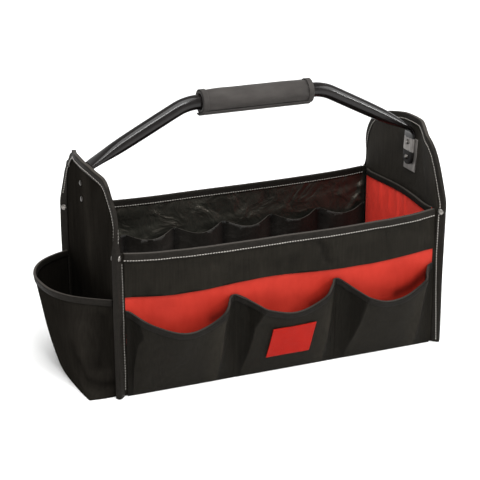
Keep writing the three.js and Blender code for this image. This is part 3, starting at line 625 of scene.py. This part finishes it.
# The left panel's top sags between its tip and its front shoulder: at (along Y, up), moves by, in mm
leftTop = {
    "above": 205,
    "fade": 10,
    "soften": 9,
    "falloff": 1.5,
    "moves": [
        ((104, 232), (0, 0)), ((94, 251.6), (-2, -1)), ((85.5, 265), (-5, -4.5)), ((68, 278), (-2, -5.5)),
        ((57, 281.7), (2, -4)), ((43, 284), (0, -6.4)), ((18, 281.6), (0, -4.2)), ((-15, 283), (0, -5.5)),
        ((-48, 285.8), (0, -8.2)), ((-77, 285.5), (4, -8.7)), ((-89, 282.7), (8, -10.5)),
        ((-98, 275.3), (9, -11)), ((-111, 263), (9, -8)), ((-114, 245), (5, -2)), ((-115, 225), (1, 0)),
        ((-90, 215), (0, 0)), ((-45, 215), (0, 0)), ((0, 215), (0, 0)), ((45, 215), (0, 0)),
        ((90, 215), (0, 0)),
    ],
}


def leftTopMove(along, up):
    # Each listed move counts the more, the nearer it is
    height = up / mm - leftTop["above"]
    if height < 0:
        return Vector((0, 0, 0))
    total = 0.0
    moved = Vector((0, 0, 0))
    for (nearAlong, nearUp), (sideways, rise) in leftTop["moves"]:
        gap = (along / mm - nearAlong) ** 2 + (up / mm - nearUp) ** 2 + leftTop["soften"]
        weight = gap ** -leftTop["falloff"]
        total += weight
        moved += Vector((0, sideways, rise)) * weight
    return moved / total * mm * min(1.0, height / leftTop["fade"])


def endFolds(place):
    side = "left" if place.x < 0 else "right"
    bend = Vector((sum(rippleAt(place, look) for look in endWaves[side]) * mm, 0, 0))
    return bend + leftTopMove(place.y, place.z) if side == "left" else bend


# Front pockets: where each one's sides crease, as (across, up) in mm
frontPockets = {
    "left": {
        "seams": (-214.9, -71.8),
        "creases": (
            [(-203.0, 110), (-201.5, 97), (-198.4, 84), (-203.9, 71), (-208.0, 39), (-208.0, 10)],
            [(-81.6, 118), (-90.0, 90), (-92.5, 72), (-93.0, 48), (-96.0, 19)],
        ),
    },
    "middle": {
        "seams": (-71.5, 71.5),
        "creases": (
            [(-36.0, 104), (-50.0, 75), (-53.6, 47), (-57.8, 27), (-62.0, 10)],
            [(64.0, 95), (60.0, 69), (57.5, 45), (54.0, 20)],
        ),
    },
    "right": {
        "seams": (71.8, 214.9),
        "creases": (
            [(107.0, 98), (105.0, 84), (100.0, 56), (89.6, 22), (86.0, 10)],
            [(197.4, 116), (191.9, 74), (190.1, 16)],
        ),
    },
}
pocketShape = {
    "gussetCurve": 2.3,
    "creaseStand": 4.2,
    "standWidth": 9,
    "seamInset": 1.5,
    "flatFoot": 35,
    "wave": waves(1.6, 30 * mm, seed=5.5, stretch=(1, 0, 0.35)),
    "waveFoot": 50,
    "waveSeam": 20,
    "inFront": -0.2,
    "searchStep": 2,
}


def pocketShaper(name):
    pocket = frontPockets[name]
    look = pocketShape
    copy = mergedCopy(f"front_pocket_{name}")
    tree = BVHTree.FromBMesh(copy)
    copy.free()

    def depthAt(across, up):
        height = up
        while height > 0:
            start = Vector((across * mm, look["inFront"], height * mm))
            hit = tree.ray_cast(start, Vector((0, 1, 0)))[0]
            if hit:
                return hit.y / mm
            height -= look["searchStep"]
        return None

    def folds(place):
        across = place.x / mm
        up = place.z / mm
        here = depthAt(across, up)
        if here is None:
            return Vector((0, 0, 0))
        shift = 0.0
        for seam, crease, inward in zip(pocket["seams"], pocket["creases"], (1, -1)):
            edge = alongPath(crease, up)
            share = (across - seam) / (edge - seam)
            if 0 < share < 1:
                low = depthAt(seam + look["seamInset"] * inward, up)
                high = depthAt(edge, up)
                if low is not None and high is not None:
                    rise = high - look["creaseStand"] - low
                    shift += low + rise * share ** look["gussetCurve"] - here
            elif share >= 1:
                shift -= look["creaseStand"] * math.exp(-(abs(across - edge) / look["standWidth"]))
        shift *= min(1.0, up / look["flatFoot"])
        fromSeam = min(abs(across - seam) for seam in pocket["seams"])
        wave = rippleAt(place, look["wave"]) * min(1.0, up / look["waveFoot"])
        shift += wave * min(1.0, fromSeam / look["waveSeam"])
        return Vector((0, shift * mm, 0))

    return folds


pocketFolds = {name: pocketShaper(name) for name in frontPockets}


# Tones: shares that a cloth's colour gains or loses: painted shade where creased or shut in, painted
# highlights, mottle
def giveTone(piece, tone):
    layer = piece.data.attributes.new("tone", "FLOAT", "POINT")
    layer.data.foreach_set("value", [tone(vertex.co) for vertex in piece.data.vertices])


def evenTone(share):
    return lambda place: share


# Painted shade on each front pocket's gussets and right flank, and a painted highlight along its right
# crease
pocketShade = {
    "near": -0.30,
    "crease": -0.52,
    "flank": -0.34,
    "face": -0.10,
    "rubbed": 0.52,
    "rubbedWidth": 15,
    "tape": -0.3,
}


def pocketTone(name):
    pocket = frontPockets[name]
    look = pocketShade

    def tone(place):
        across = place.x / mm
        up = place.z / mm
        first, last = (alongPath(crease, up) for crease in pocket["creases"])
        if across < first:
            share = max(0.0, (across - pocket["seams"][0]) / (first - pocket["seams"][0]))
            return look["near"] + (look["crease"] - look["near"]) * share
        if across > last:
            return look["flank"]
        return look["face"] + look["rubbed"] * bell(last - across, look["rubbedWidth"])

    return tone


# Where the pockets' right sides shade the red wall, as (across, up) in mm
redShade = {
    "paths": [
        [(-100, 87), (-87, 91), (-77, 99), (-71, 110)],
        [(39, 83), (54, 88), (65, 96), (75, 107)],
        [(164, 79), (184, 86), (201, 97), (214, 112)],
    ],
    "width": 6.5,
    "share": 0.62,
    "mottle": waves(0.1, 40 * mm, seed=79.0),
}


def frontWallTone(place):
    shade = max(nearPath(path, place.x / mm, place.z / mm, redShade["width"]) for path in redShade["paths"])
    return rippleAt(place, redShade["mottle"]) - redShade["share"] * shade


# Painted shade in the band's dents and paler where a crease stands out, over mottle of its own tone
bandShade = {
    "mottle": waves(0.22, 22 * mm, seed=81.0),
    "grain": waves(0.12, 9 * mm, seed=83.0, stretch=(3, 0, 1)),
    "dent": 0.11,
    "dentWidth": 0.8,
}


def bandTone(place):
    dents = creasesAt(frontWall["dents"], place.x / mm, place.z / mm, bandShade["dentWidth"])
    mottle = rippleAt(place, bandShade["mottle"]) + rippleAt(place, bandShade["grain"])
    return mottle - bandShade["dent"] * dents


# Painted highlights along the lining's raised creases and painted shade in its sunk ones, over mottle
liningShade = {
    "mottle": waves(0.3, 30 * mm, seed=91.0, stretch=(1, 0, 2)),
    "crumple": waves(1.6, 9 * mm, seed=93.0, stretch=(2, 0, 3)),
    "crumpleBase": 0.5,
    "ridge": 0.42,
    "hollow": 0.16,
    "darkest": -0.7,
}


def liningTone(place):
    tone = rippleAt(place, liningShade["mottle"])
    crumple = liningShade["crumpleBase"] + abs(rippleAt(place, liningShade["crumple"]))
    for path, width, depth in backWall["creases"]:
        share = liningShade["ridge"] if depth > 0 else liningShade["hollow"]
        tone += share * depth * nearPath(path, place.x / mm, place.z / mm, width) * crumple
    return max(liningShade["darkest"], tone)


# Pockets inside, along the back wall
innerPocket = {
    "wave": waves(0.9, 20 * mm, seed=15.0, stretch=(1, 0, 0.4)),
    "mottle": waves(0.25, 14 * mm, seed=95.0, stretch=(1, 0, 0.5)),
    "seamShade": 0.6,
    "seamWidth": 6,
}


# Painted shade along each inner pocket's seams, over mottle of its own tone
def innerPocketTone(left, right):
    look = innerPocket

    def tone(place):
        gap = min(place.x - left, right - place.x) / mm
        return rippleAt(place, look["mottle"]) - look["seamShade"] * bell(gap, look["seamWidth"])

    return tone


def innerPocketFolds(place):
    return Vector((0, rippleAt(place, innerPocket["wave"]) * mm, 0))


# Red pocket inside on the right panel: tucks run down from its hem, as (along Y, up) in mm
endPocket = {
    "wave": waves(0.8, 45 * mm, seed=2.0, stretch=(0, 1, 1)),
    "tucks": (52, 30, 8, -13),
    "tuckPath": [(0, 181), (-2, 160), (-4, 145)],
    "tuckDepth": 1.0,
    "tuckWidth": 3.0,
    "tuckShade": 0.22,
    "shadeWidth": 2.2,
}


def tucksAt(place, width):
    total = 0.0
    for along in endPocket["tucks"]:
        tuck = [(along + lean, up) for lean, up in endPocket["tuckPath"]]
        total += nearPath(tuck, place.y / mm, place.z / mm, width)
    return total


# Painted highlight along the tucks, which stand out from the pocket
def endPocketTone(place):
    return endPocket["tuckShade"] * tucksAt(place, endPocket["shadeWidth"])


def endPocketFolds(place):
    wave = rippleAt(place, endPocket["wave"])
    return Vector(((wave - endPocket["tuckDepth"] * tucksAt(place, endPocket["tuckWidth"])) * mm, 0, 0))


# Left end pocket: it creases by its front seam, as (along Y, up) in mm
sidePocket = {
    "wall": -225 * mm,
    "wave": waves(1.6, 32 * mm, seed=9.0, stretch=(1, 0, 0.4)),
    "waveRadius": 60 * mm,
    "waveFoot": 60 * mm,
    "still": 10 * mm,
    "mottle": waves(0.2, 30 * mm, seed=97.0, stretch=(1, 1, 0.5)),
    "creaseShade": 0.13,
    "creases": [
        ([(-84, 104), (-88, 70), (-90, 40)], 4.5, -3.0),
        ([(-70, 92), (-76, 60), (-80, 30)], 6.0, 1.6),
        ([(-72, 44), (-84, 26), (-97, 16)], 4.5, -3.0),
        ([(-64, 26), (-78, 14), (-92, 9)], 4.0, 1.8),
        ([(-58, 60), (-66, 34), (-70, 14)], 7.0, -1.6),
    ],
}


# Painted shade in the creases pressed in and painted highlight on those standing out, over mottle
def sidePocketTone(place):
    creases = creasesAt(sidePocket["creases"], place.y / mm, place.z / mm)
    return rippleAt(place, sidePocket["mottle"]) + sidePocket["creaseShade"] * creases


def sidePocketFolds(place):
    look = sidePocket
    out = Vector((place.x - look["wall"], place.y, 0))
    if out.length < look["still"]:
        return Vector((0, 0, 0))
    around = math.atan2(place.y, look["wall"] - place.x)
    wave = rippleAt((around * look["waveRadius"], 0, place.z), look["wave"])
    wave *= min(1.0, place.z / look["waveFoot"])
    wave += creasesAt(look["creases"], place.y / mm, place.z / mm)
    return out.normalized() * wave * mm


# Painted highlight: a paler streak of sheen down the left panel, which is also a little darker overall,
# with mottle
leftPanelShade = {
    "streak": [(-8, 270), (-14, 220), (-18, 150)],
    "streakWidth": 16,
    "streakShare": 0.45,
    "base": -0.12,
    "mottle": waves(0.25, 18 * mm, seed=99.0, stretch=(0, 1, 0.3)),
}


def leftPanelTone(place):
    look = leftPanelShade
    streak = nearPath(look["streak"], place.y / mm, place.z / mm, look["streakWidth"])
    return look["streakShare"] * streak + look["base"] + rippleAt(place, look["mottle"])


# Grip sleeve: foam under cloth, pressed in here and there, and puckered at its hems
gripSleeve = {
    "axisHeight": 340 * mm,
    "core": 11.5 * mm,
    "ends": (-73.5, 80.5),
    "lump": waves(0.9, 26 * mm, seed=61.0, stretch=(0.7, 1, 0)),
    "lumpRadius": 15 * mm,
    "swell": 0.9,
    "swellFade": 25,
    "sunk": 0.5,
    "pucker": 0.42,
    "puckers": 9,
    "puckerTwist": 60,
    "puckerAt": 11,
    "puckerWidth": 8,
    "mottle": waves(0.34, 17 * mm, seed=63.0, stretch=(0.6, 1, 1)),
    "base": 0.06,
    "hemShade": 0.22,
    "hemWidth": 9,
}


def fromHem(place):
    return min(abs(place.x / mm - end) for end in gripSleeve["ends"])


def gripFolds(place):
    look = gripSleeve
    out = Vector((0, place.y, place.z - look["axisHeight"]))
    if out.length < look["core"]:
        return Vector((0, 0, 0))
    around = math.atan2(out.y, out.z)
    near = fromHem(place)
    lump = rippleAt((place.x, around * look["lumpRadius"], 0), look["lump"])
    pucker = look["pucker"] * math.sin(around * look["puckers"] + place.x * look["puckerTwist"])
    pucker *= bell(near - look["puckerAt"], look["puckerWidth"])
    swell = look["swell"] * min(1.0, near / look["swellFade"])
    return out.normalized() * (lump + pucker + swell - look["sunk"]) * mm


# Painted shade toward the puckered hems, over mottle of the cloth's own tone
def gripTone(place):
    look = gripSleeve
    hem = look["hemShade"] * bell(fromHem(place), look["hemWidth"])
    return rippleAt(place, look["mottle"]) - hem + look["base"]


def camelName(name):
    first, *others = name.split("_")
    return first + "".join(word.title() for word in others)


clothPieces = [
    ("base_board", "blackCloth", 2, 1.0, None),
    ("front_band", "blackCloth", 3, 1.0, frontFolds),
    ("front_rim_tape", "edgeTape", 2, 0.75, frontFolds),
    ("back_rim_tape", "edgeTape", 2, 0.75, backFolds),
    ("left_end_panel", "panelCloth", 3, 1.0, endFolds),
    ("right_end_panel", "panelInside", 3, 1.0, endFolds),
    ("left_end_tape", "edgeTape", 2, 0.75, endFolds),
    ("right_end_tape", "edgeTape", 2, 0.75, endFolds),
    ("side_pocket", "panelCloth", 3, 1.0, sidePocketFolds),
    ("side_pocket_tape", "edgeTape", 2, 0.75, sidePocketFolds),
    ("side_pocket_base", "blackCloth", 1, 1.0, None),
    ("end_pocket", "redInside", 3, 1.0, endPocketFolds),
    ("end_pocket_tape", "edgeTape", 2, 0.75, endPocketFolds),
    ("label_patch", "redPatch", 3, 1.0, pocketFolds["middle"]),
    ("grip_sleeve", "gripCloth", 3, 0.8, gripFolds),
    ("grip_hem_left", "gripCloth", 2, 0.8, None),
    ("grip_hem_right", "gripCloth", 2, 0.8, None),
    ("grip_flap", "gripCloth", 2, 1.0, None),
]
for place, folds in pocketFolds.items():
    node = f"front_pocket_{place}"
    clothPieces += [(node, "blackCloth", 3, 1.0, folds), (f"{node}_tape", "edgeTape", 2, 0.75, folds)]
for number in range(1, 7):
    clothPieces.append((f"inner_pocket_{number}", "innerCloth", 3, 1.0, innerPocketFolds))

# A piece is named after its node, unless its node is listed here
renamed = {
    "end_pocket": "redEndPocket",
    "end_pocket_tape": "redEndPocketBinding",
    "label_patch": "redPatch",
    "grip_flap": "gripLap",
}
for place in frontPockets:
    renamed[f"front_pocket_{place}_tape"] = f"frontPocketBinding{place.title()}"
pieces = {}
for node, finish, levels, crease, folds in clothPieces:
    name = renamed.get(node) or camelName(node).replace("Tape", "Binding")
    pieces[name] = smoothCopy(node, name, finish, levels=levels, crease=crease, folds=folds)
tones = {
    "frontBand": bandTone,
    "gripSleeve": gripTone,
    "redEndPocket": endPocketTone,
    "sidePocket": sidePocketTone,
    "leftEndPanel": leftPanelTone,
}
for place in frontPockets:
    tones[f"frontPocket{place.title()}"] = pocketTone(place)
    tones[f"frontPocketBinding{place.title()}"] = evenTone(pocketShade["tape"])
for number in range(1, 7):
    name = f"innerPocket{number}"
    across = [vertex.co.x for vertex in pieces[name].data.vertices]
    tones[name] = innerPocketTone(min(across), max(across))
for name, tone in tones.items():
    giveTone(pieces[name], tone)
print("cloth pieces ready")


# Walls have other cloth on some faces: red at the front's middle, lining inside
wallLook = {"redHalfWidth": 214.3 * mm, "redTop": 150 * mm, "liningFacing": 0.5, "levels": 4}


def cutAcross(copy, spot, facing):
    everything = copy.verts[:] + copy.edges[:] + copy.faces[:]
    bmesh.ops.bisect_plane(copy, geom=everything, plane_co=spot, plane_no=facing)


def cutWall(node, name, folds, outside):
    copy = mergedCopy(node)
    for side in (-1, 1):
        cutAcross(copy, (side * wallLook["redHalfWidth"], 0, 0), (1, 0, 0))
    creaseSharpEdges(copy, copying["sharpAngle"], 1.0)
    piece = showPiece(name, copy, outside, [node])
    for extra in ("liningCloth", "blackCloth"):
        piece.data.materials.append(finishes[extra])
    subdivide(piece, wallLook["levels"])
    inwards = 1 if node == "front_wall" else -1
    for face in piece.data.polygons:
        beside = abs(face.center.x) > wallLook["redHalfWidth"]
        if face.normal.y * inwards > wallLook["liningFacing"]:
            face.material_index = 1
        elif beside or face.center.z > wallLook["redTop"]:
            face.material_index = 2
    bendAndShade(piece, folds, copying["shadeAngle"])
    return piece


pieces["frontWall"] = cutWall("front_wall", "frontWall", frontFolds, "redCloth")
pieces["backWall"] = cutWall("back_wall", "backWall", backFolds, "blackCloth")
giveTone(pieces["frontWall"], frontWallTone)
giveTone(pieces["backWall"], liningTone)
print("walls ready")

# Handle tube: its flattened ends are grey steel above, a painted reflection of bright surroundings, and
# dull below
handleTube = {
    "bareTop": 258 * mm,
    "bareFoot": 241 * mm,
    "footStart": 218 * mm,
    "sharpAngle": 60,
    "crease": 0.6,
    "shadeAngle": 50,
    "levels": 2,
}


def makeTube():
    look = handleTube
    copy = mergedCopy("handle_tube")
    for height in (look["bareTop"], look["bareFoot"]):
        cutAcross(copy, (0, 0, height), (0, 0, 1))
    creaseSharpEdges(copy, look["sharpAngle"], look["crease"])
    piece = showPiece("handleTube", copy, "paintedTube", ["handle_tube"])
    piece.data.materials.append(finishes["plateSteel"])
    piece.data.materials.append(finishes["dullTube"])
    subdivide(piece, look["levels"])
    for face in piece.data.polygons:
        if abs(face.center.x) > look["footStart"]:
            if face.center.z < look["bareFoot"]:
                face.material_index = 2
            elif face.center.z < look["bareTop"]:
                face.material_index = 1
    bendAndShade(piece, None, look["shadeAngle"])
    return piece


pieces["handleTube"] = makeTube()

# Rivets are domed all over, and those that the left panel's cloth half hides are darker, painted shade from
# the cloth
domeAngle = 170
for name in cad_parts:
    title = camelName(name)
    if name.startswith(("corner_rivet", "handle_rivet")):
        onLeftPanel = name.startswith("handle_rivet") and name.endswith("left")
        finish = "darkRivet" if onLeftPanel else "rivetSteel"
        pieces[title] = smoothCopy(name, title, finish, sharpAngle=domeAngle)
    if name.startswith("handle_plate"):
        pieces[title] = smoothCopy(name, title, "plateSteel", levels=1)
print("metal pieces ready")


# Stitches: short dashes of thread laid on the finished cloth
stitch = {
    "pitch": 3.6 * mm,
    "length": 3.3 * mm,
    "width": 1.5 * mm,
    "height": 0.9 * mm,
    "stand": 0.2,
    "around": 6,
    "rings": 4,
    "reach": 30 * mm,
}


def surfaceOf(names):
    joined = bmesh.new()
    for name in names:
        joined.from_mesh(pieces[name].data)
    tree = BVHTree.FromBMesh(joined)
    joined.free()
    return tree


def evenly(points, pitch):
    # Points a pitch apart along a path of straight runs
    result = []
    left = 0.0
    for first, last in zip(points, points[1:]):
        run = last - first
        while left < run.length:
            result.append(first + run.normalized() * left)
            left += pitch
        left -= run.length
    return result


def sewLine(name, points, towards, names):
    tree = surfaceOf(names)
    direction = Vector(towards).normalized()
    reach = stitch["reach"]
    landed = []
    for point in evenly([Vector(point) for point in points], stitch["pitch"]):
        spot, facing, _, _ = tree.ray_cast(point - direction * reach, direction, reach * 2)
        landed.append((spot, facing) if spot else None)
    dashes = bmesh.new()
    for before, here, after in zip([None] + landed, landed, landed[1:] + [None]):
        before = before or here
        after = after or here
        if not here or before is after:
            continue
        along = (after[0] - before[0]).normalized()
        up = here[1] if here[1].dot(direction) < 0 else -here[1]
        side = up.cross(along).normalized()
        up = along.cross(side)
        turn = Matrix((along, side, up)).transposed().to_4x4()
        size = Matrix.Diagonal((stitch["length"] / 2, stitch["width"] / 2, stitch["height"] / 2, 1))
        placed = Matrix.Translation(here[0] + up * stitch["height"] * stitch["stand"]) @ turn @ size
        bmesh.ops.create_uvsphere(
            dashes, u_segments=stitch["around"], v_segments=stitch["rings"], radius=1, matrix=placed
        )
    bmesh.ops.recalc_face_normals(dashes, faces=dashes.faces)
    piece = showPiece(name, dashes, "threadGrey", None)
    piece.data.shade_smooth()
    return piece


rimSeam = {
    "frontBelow": 8.8 * mm,
    "backBelow": 9.0 * mm,
    "plane": 0.105,
    "above": 0.4,
    "margin": 1 * mm,
    "steps": 60,
    "rays": 17,
}


def rimLine(name, below, side):
    # A line along a rim, below its top edge, in the plane at side
    look = rimSeam
    tree = surfaceOf([name])
    low, high = pieces[name].bound_box[0], pieces[name].bound_box[6]
    points = []
    for step in range(look["steps"] + 1):
        across = low[0] + look["margin"] + (high[0] - low[0] - 2 * look["margin"]) * step / look["steps"]
        tops = []
        for ray in range(look["rays"]):
            depth = low[1] + (high[1] - low[1]) * ray / (look["rays"] - 1)
            top = tree.ray_cast(Vector((across, depth, look["above"])), Vector((0, 0, -1)))[0]
            if top:
                tops.append(top.z)
        if tops:
            points.append((across, side, max(tops) - below))
    return points


for title, other, wall, below, plane in (
    ("frontRim", "Inner", "frontBand", rimSeam["frontBelow"], -rimSeam["plane"]),
    ("backRim", "Outer", "backWall", rimSeam["backBelow"], rimSeam["plane"]),
):
    binding = f"{title}Binding"
    line = rimLine(binding, below, plane)
    sewLine(f"{title}Stitches", line, (0, 1, 0), [binding, wall])
    sewLine(f"{title}{other}Stitches", line, (0, -1, 0), [binding])


endSeam = {
    "inset": 8 * mm,
    "plane": 0.23,
    "upperFrom": 196 * mm,
    "middle": (0, 0.13),
    "flareTop": 245 * mm,
    "flareRise": 50 * mm,
    "flareLoss": 0.293,
    "footTop": 12 * mm,
    "footHalfDepth": 90 * mm,
    "cornerSide": 217.2 * mm,
    "cornerPlane": 0.105,
    "cornerFoot": 10 * mm,
    "cornerTop": 176 * mm,
    "cornerTone": -0.35,
}


def bindingPath(node):
    # The panel's outline seen from its end, drawn in by the inset, and by less where the edge flares
    look = endSeam
    corners = bmesh.new()
    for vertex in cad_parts[node].data.vertices:
        corners.verts.new((0, vertex.co.y, vertex.co.z))
    hull = bmesh.ops.convex_hull(corners, input=corners.verts)
    spare = hull["geom_interior"] + hull["geom_unused"]
    loose = {item for item in spare if isinstance(item, bmesh.types.BMVert)}
    bmesh.ops.delete(corners, geom=list(loose), context="VERTS")
    outline = [(vertex.co.y, vertex.co.z) for vertex in corners.verts]
    corners.free()
    middle = Vector(look["middle"])
    outline.sort(key=lambda point: math.atan2(point[0] - middle.x, point[1] - middle.y))
    points = []
    for index, here in enumerate(outline):
        before = Vector(outline[index - 1])
        after = Vector(outline[(index + 1) % len(outline)])
        run = (after - before).normalized()
        inwards = Vector((run.y, -run.x))
        if inwards.dot(middle - Vector(here)) < 0:
            inwards = -inwards
        flare = clamp((look["flareTop"] - here[1]) / look["flareRise"])
        points.append(Vector(here) + inwards * look["inset"] * (1 - look["flareLoss"] * flare))
    return [point for point in points if point.y > look["footTop"] or abs(point.x) > look["footHalfDepth"]]


for side, label in ((-1, "left"), (1, "right")):
    path = bindingPath(f"{label}_end_tape")
    if side < 0:
        path = [point + leftTopMove(point.x, point.y).yz for point in path]
    places = [(side * endSeam["plane"], point.x, point.y) for point in path]
    upper = [place for place in places if place[2] > endSeam["upperFrom"]]
    names = [f"{label}EndBinding", f"{label}EndPanel"]
    sewLine(f"{label}EndOuterStitches", upper, (-side, 0, 0), names)
    sewLine(f"{label}EndInnerStitches", upper if side < 0 else places, (side, 0, 0), names)

# The left binding is sewn down the walls' ends too
for front, wall in ((-1, "frontWall"), (1, "backWall")):
    seam = [
        (-endSeam["cornerSide"], front * endSeam["cornerPlane"], height)
        for height in (endSeam["cornerFoot"], endSeam["cornerTop"])
    ]
    line = sewLine(f"left{wall.title()}Seam", seam, (0, -front, 0), [wall, "leftEndBinding"])
    giveTone(line, evenTone(endSeam["cornerTone"]))
print("stitches ready")


# Floor, world and lights

studio = {
    "floorColour": (0.93, 0.93, 0.925),
    "worldColour": (1.0, 1.0, 0.995),
    "skyStrength": 0.5,
    "horizonStrength": 1.0,
    "horizonTop": 0.12,
    "skyFrom": 0.4,
    "floorHalf": 6,
    "floorRoughness": 0.8,
    "lit": (0, 0, 0.15),
    "lights": [
        {"name": "keyLight", "at": (1.8, -1.0, 1.5), "size": 1.4, "watts": 33},
        {"name": "frontLight", "at": (-0.1, -0.75, 1.25), "size": 0.25, "watts": 5},
        {"name": "leftTubeLight", "at": (-0.446, -1.016, 1.513), "size": 0.25, "watts": 7},
        {"name": "rightTubeLight", "at": (1.226, -0.944, 0.763), "size": 0.14, "watts": 4},
    ],
    "softSun": {"towards": (0.1, 0.2, -0.95), "strength": 2.6, "spread": 45},
}


def makeStudio():
    floor = bmesh.new()
    bmesh.ops.create_grid(floor, x_segments=2, y_segments=2, size=studio["floorHalf"])
    mesh = bpy.data.meshes.new("floor")
    floor.to_mesh(mesh)
    floor.free()
    ground = newObject("floor", mesh)
    material, _, shader = newFinish("paleFloor")
    shader.inputs["Base Color"].default_value = (*studio["floorColour"], 1)
    shader.inputs["Roughness"].default_value = studio["floorRoughness"]
    ground.data.materials.append(material)
    world = bpy.data.worlds.new("studio")
    world.use_nodes = True
    tree = world.node_tree
    background = tree.nodes["Background"]
    background.inputs[0].default_value = (*studio["worldColour"], 1)
    around = addNode(tree, "TexCoord", {})
    height = addNode(tree, "SeparateXYZ", {0: around.outputs["Generated"]})
    inputs = {
        "Value": height.outputs[2], "From Min": studio["horizonTop"], "From Max": studio["skyFrom"],
        "To Min": studio["horizonStrength"], "To Max": studio["skyStrength"],
    }
    fade = addNode(tree, "MapRange", inputs)
    tree.links.new(fade.outputs[0], background.inputs[1])
    bpy.context.scene.world = world
    for light in studio["lights"]:
        data = bpy.data.lights.new(light["name"], "AREA")
        data.energy = light["watts"]
        data.size = light["size"]
        lamp = newObject(light["name"], data)
        lamp.location = light["at"]
        back = Vector(light["at"]) - Vector(studio["lit"])
        lamp.rotation_euler = back.to_track_quat("Z", "Y").to_euler()
    data = bpy.data.lights.new("softSun", "SUN")
    data.energy = studio["softSun"]["strength"]
    data.angle = math.radians(studio["softSun"]["spread"])
    sun = newObject("softSun", data)
    sun.rotation_euler = (-Vector(studio["softSun"]["towards"])).to_track_quat("Z", "Y").to_euler()
    bpy.context.scene.view_settings.view_transform = "Standard"


makeStudio()
print("studio ready")
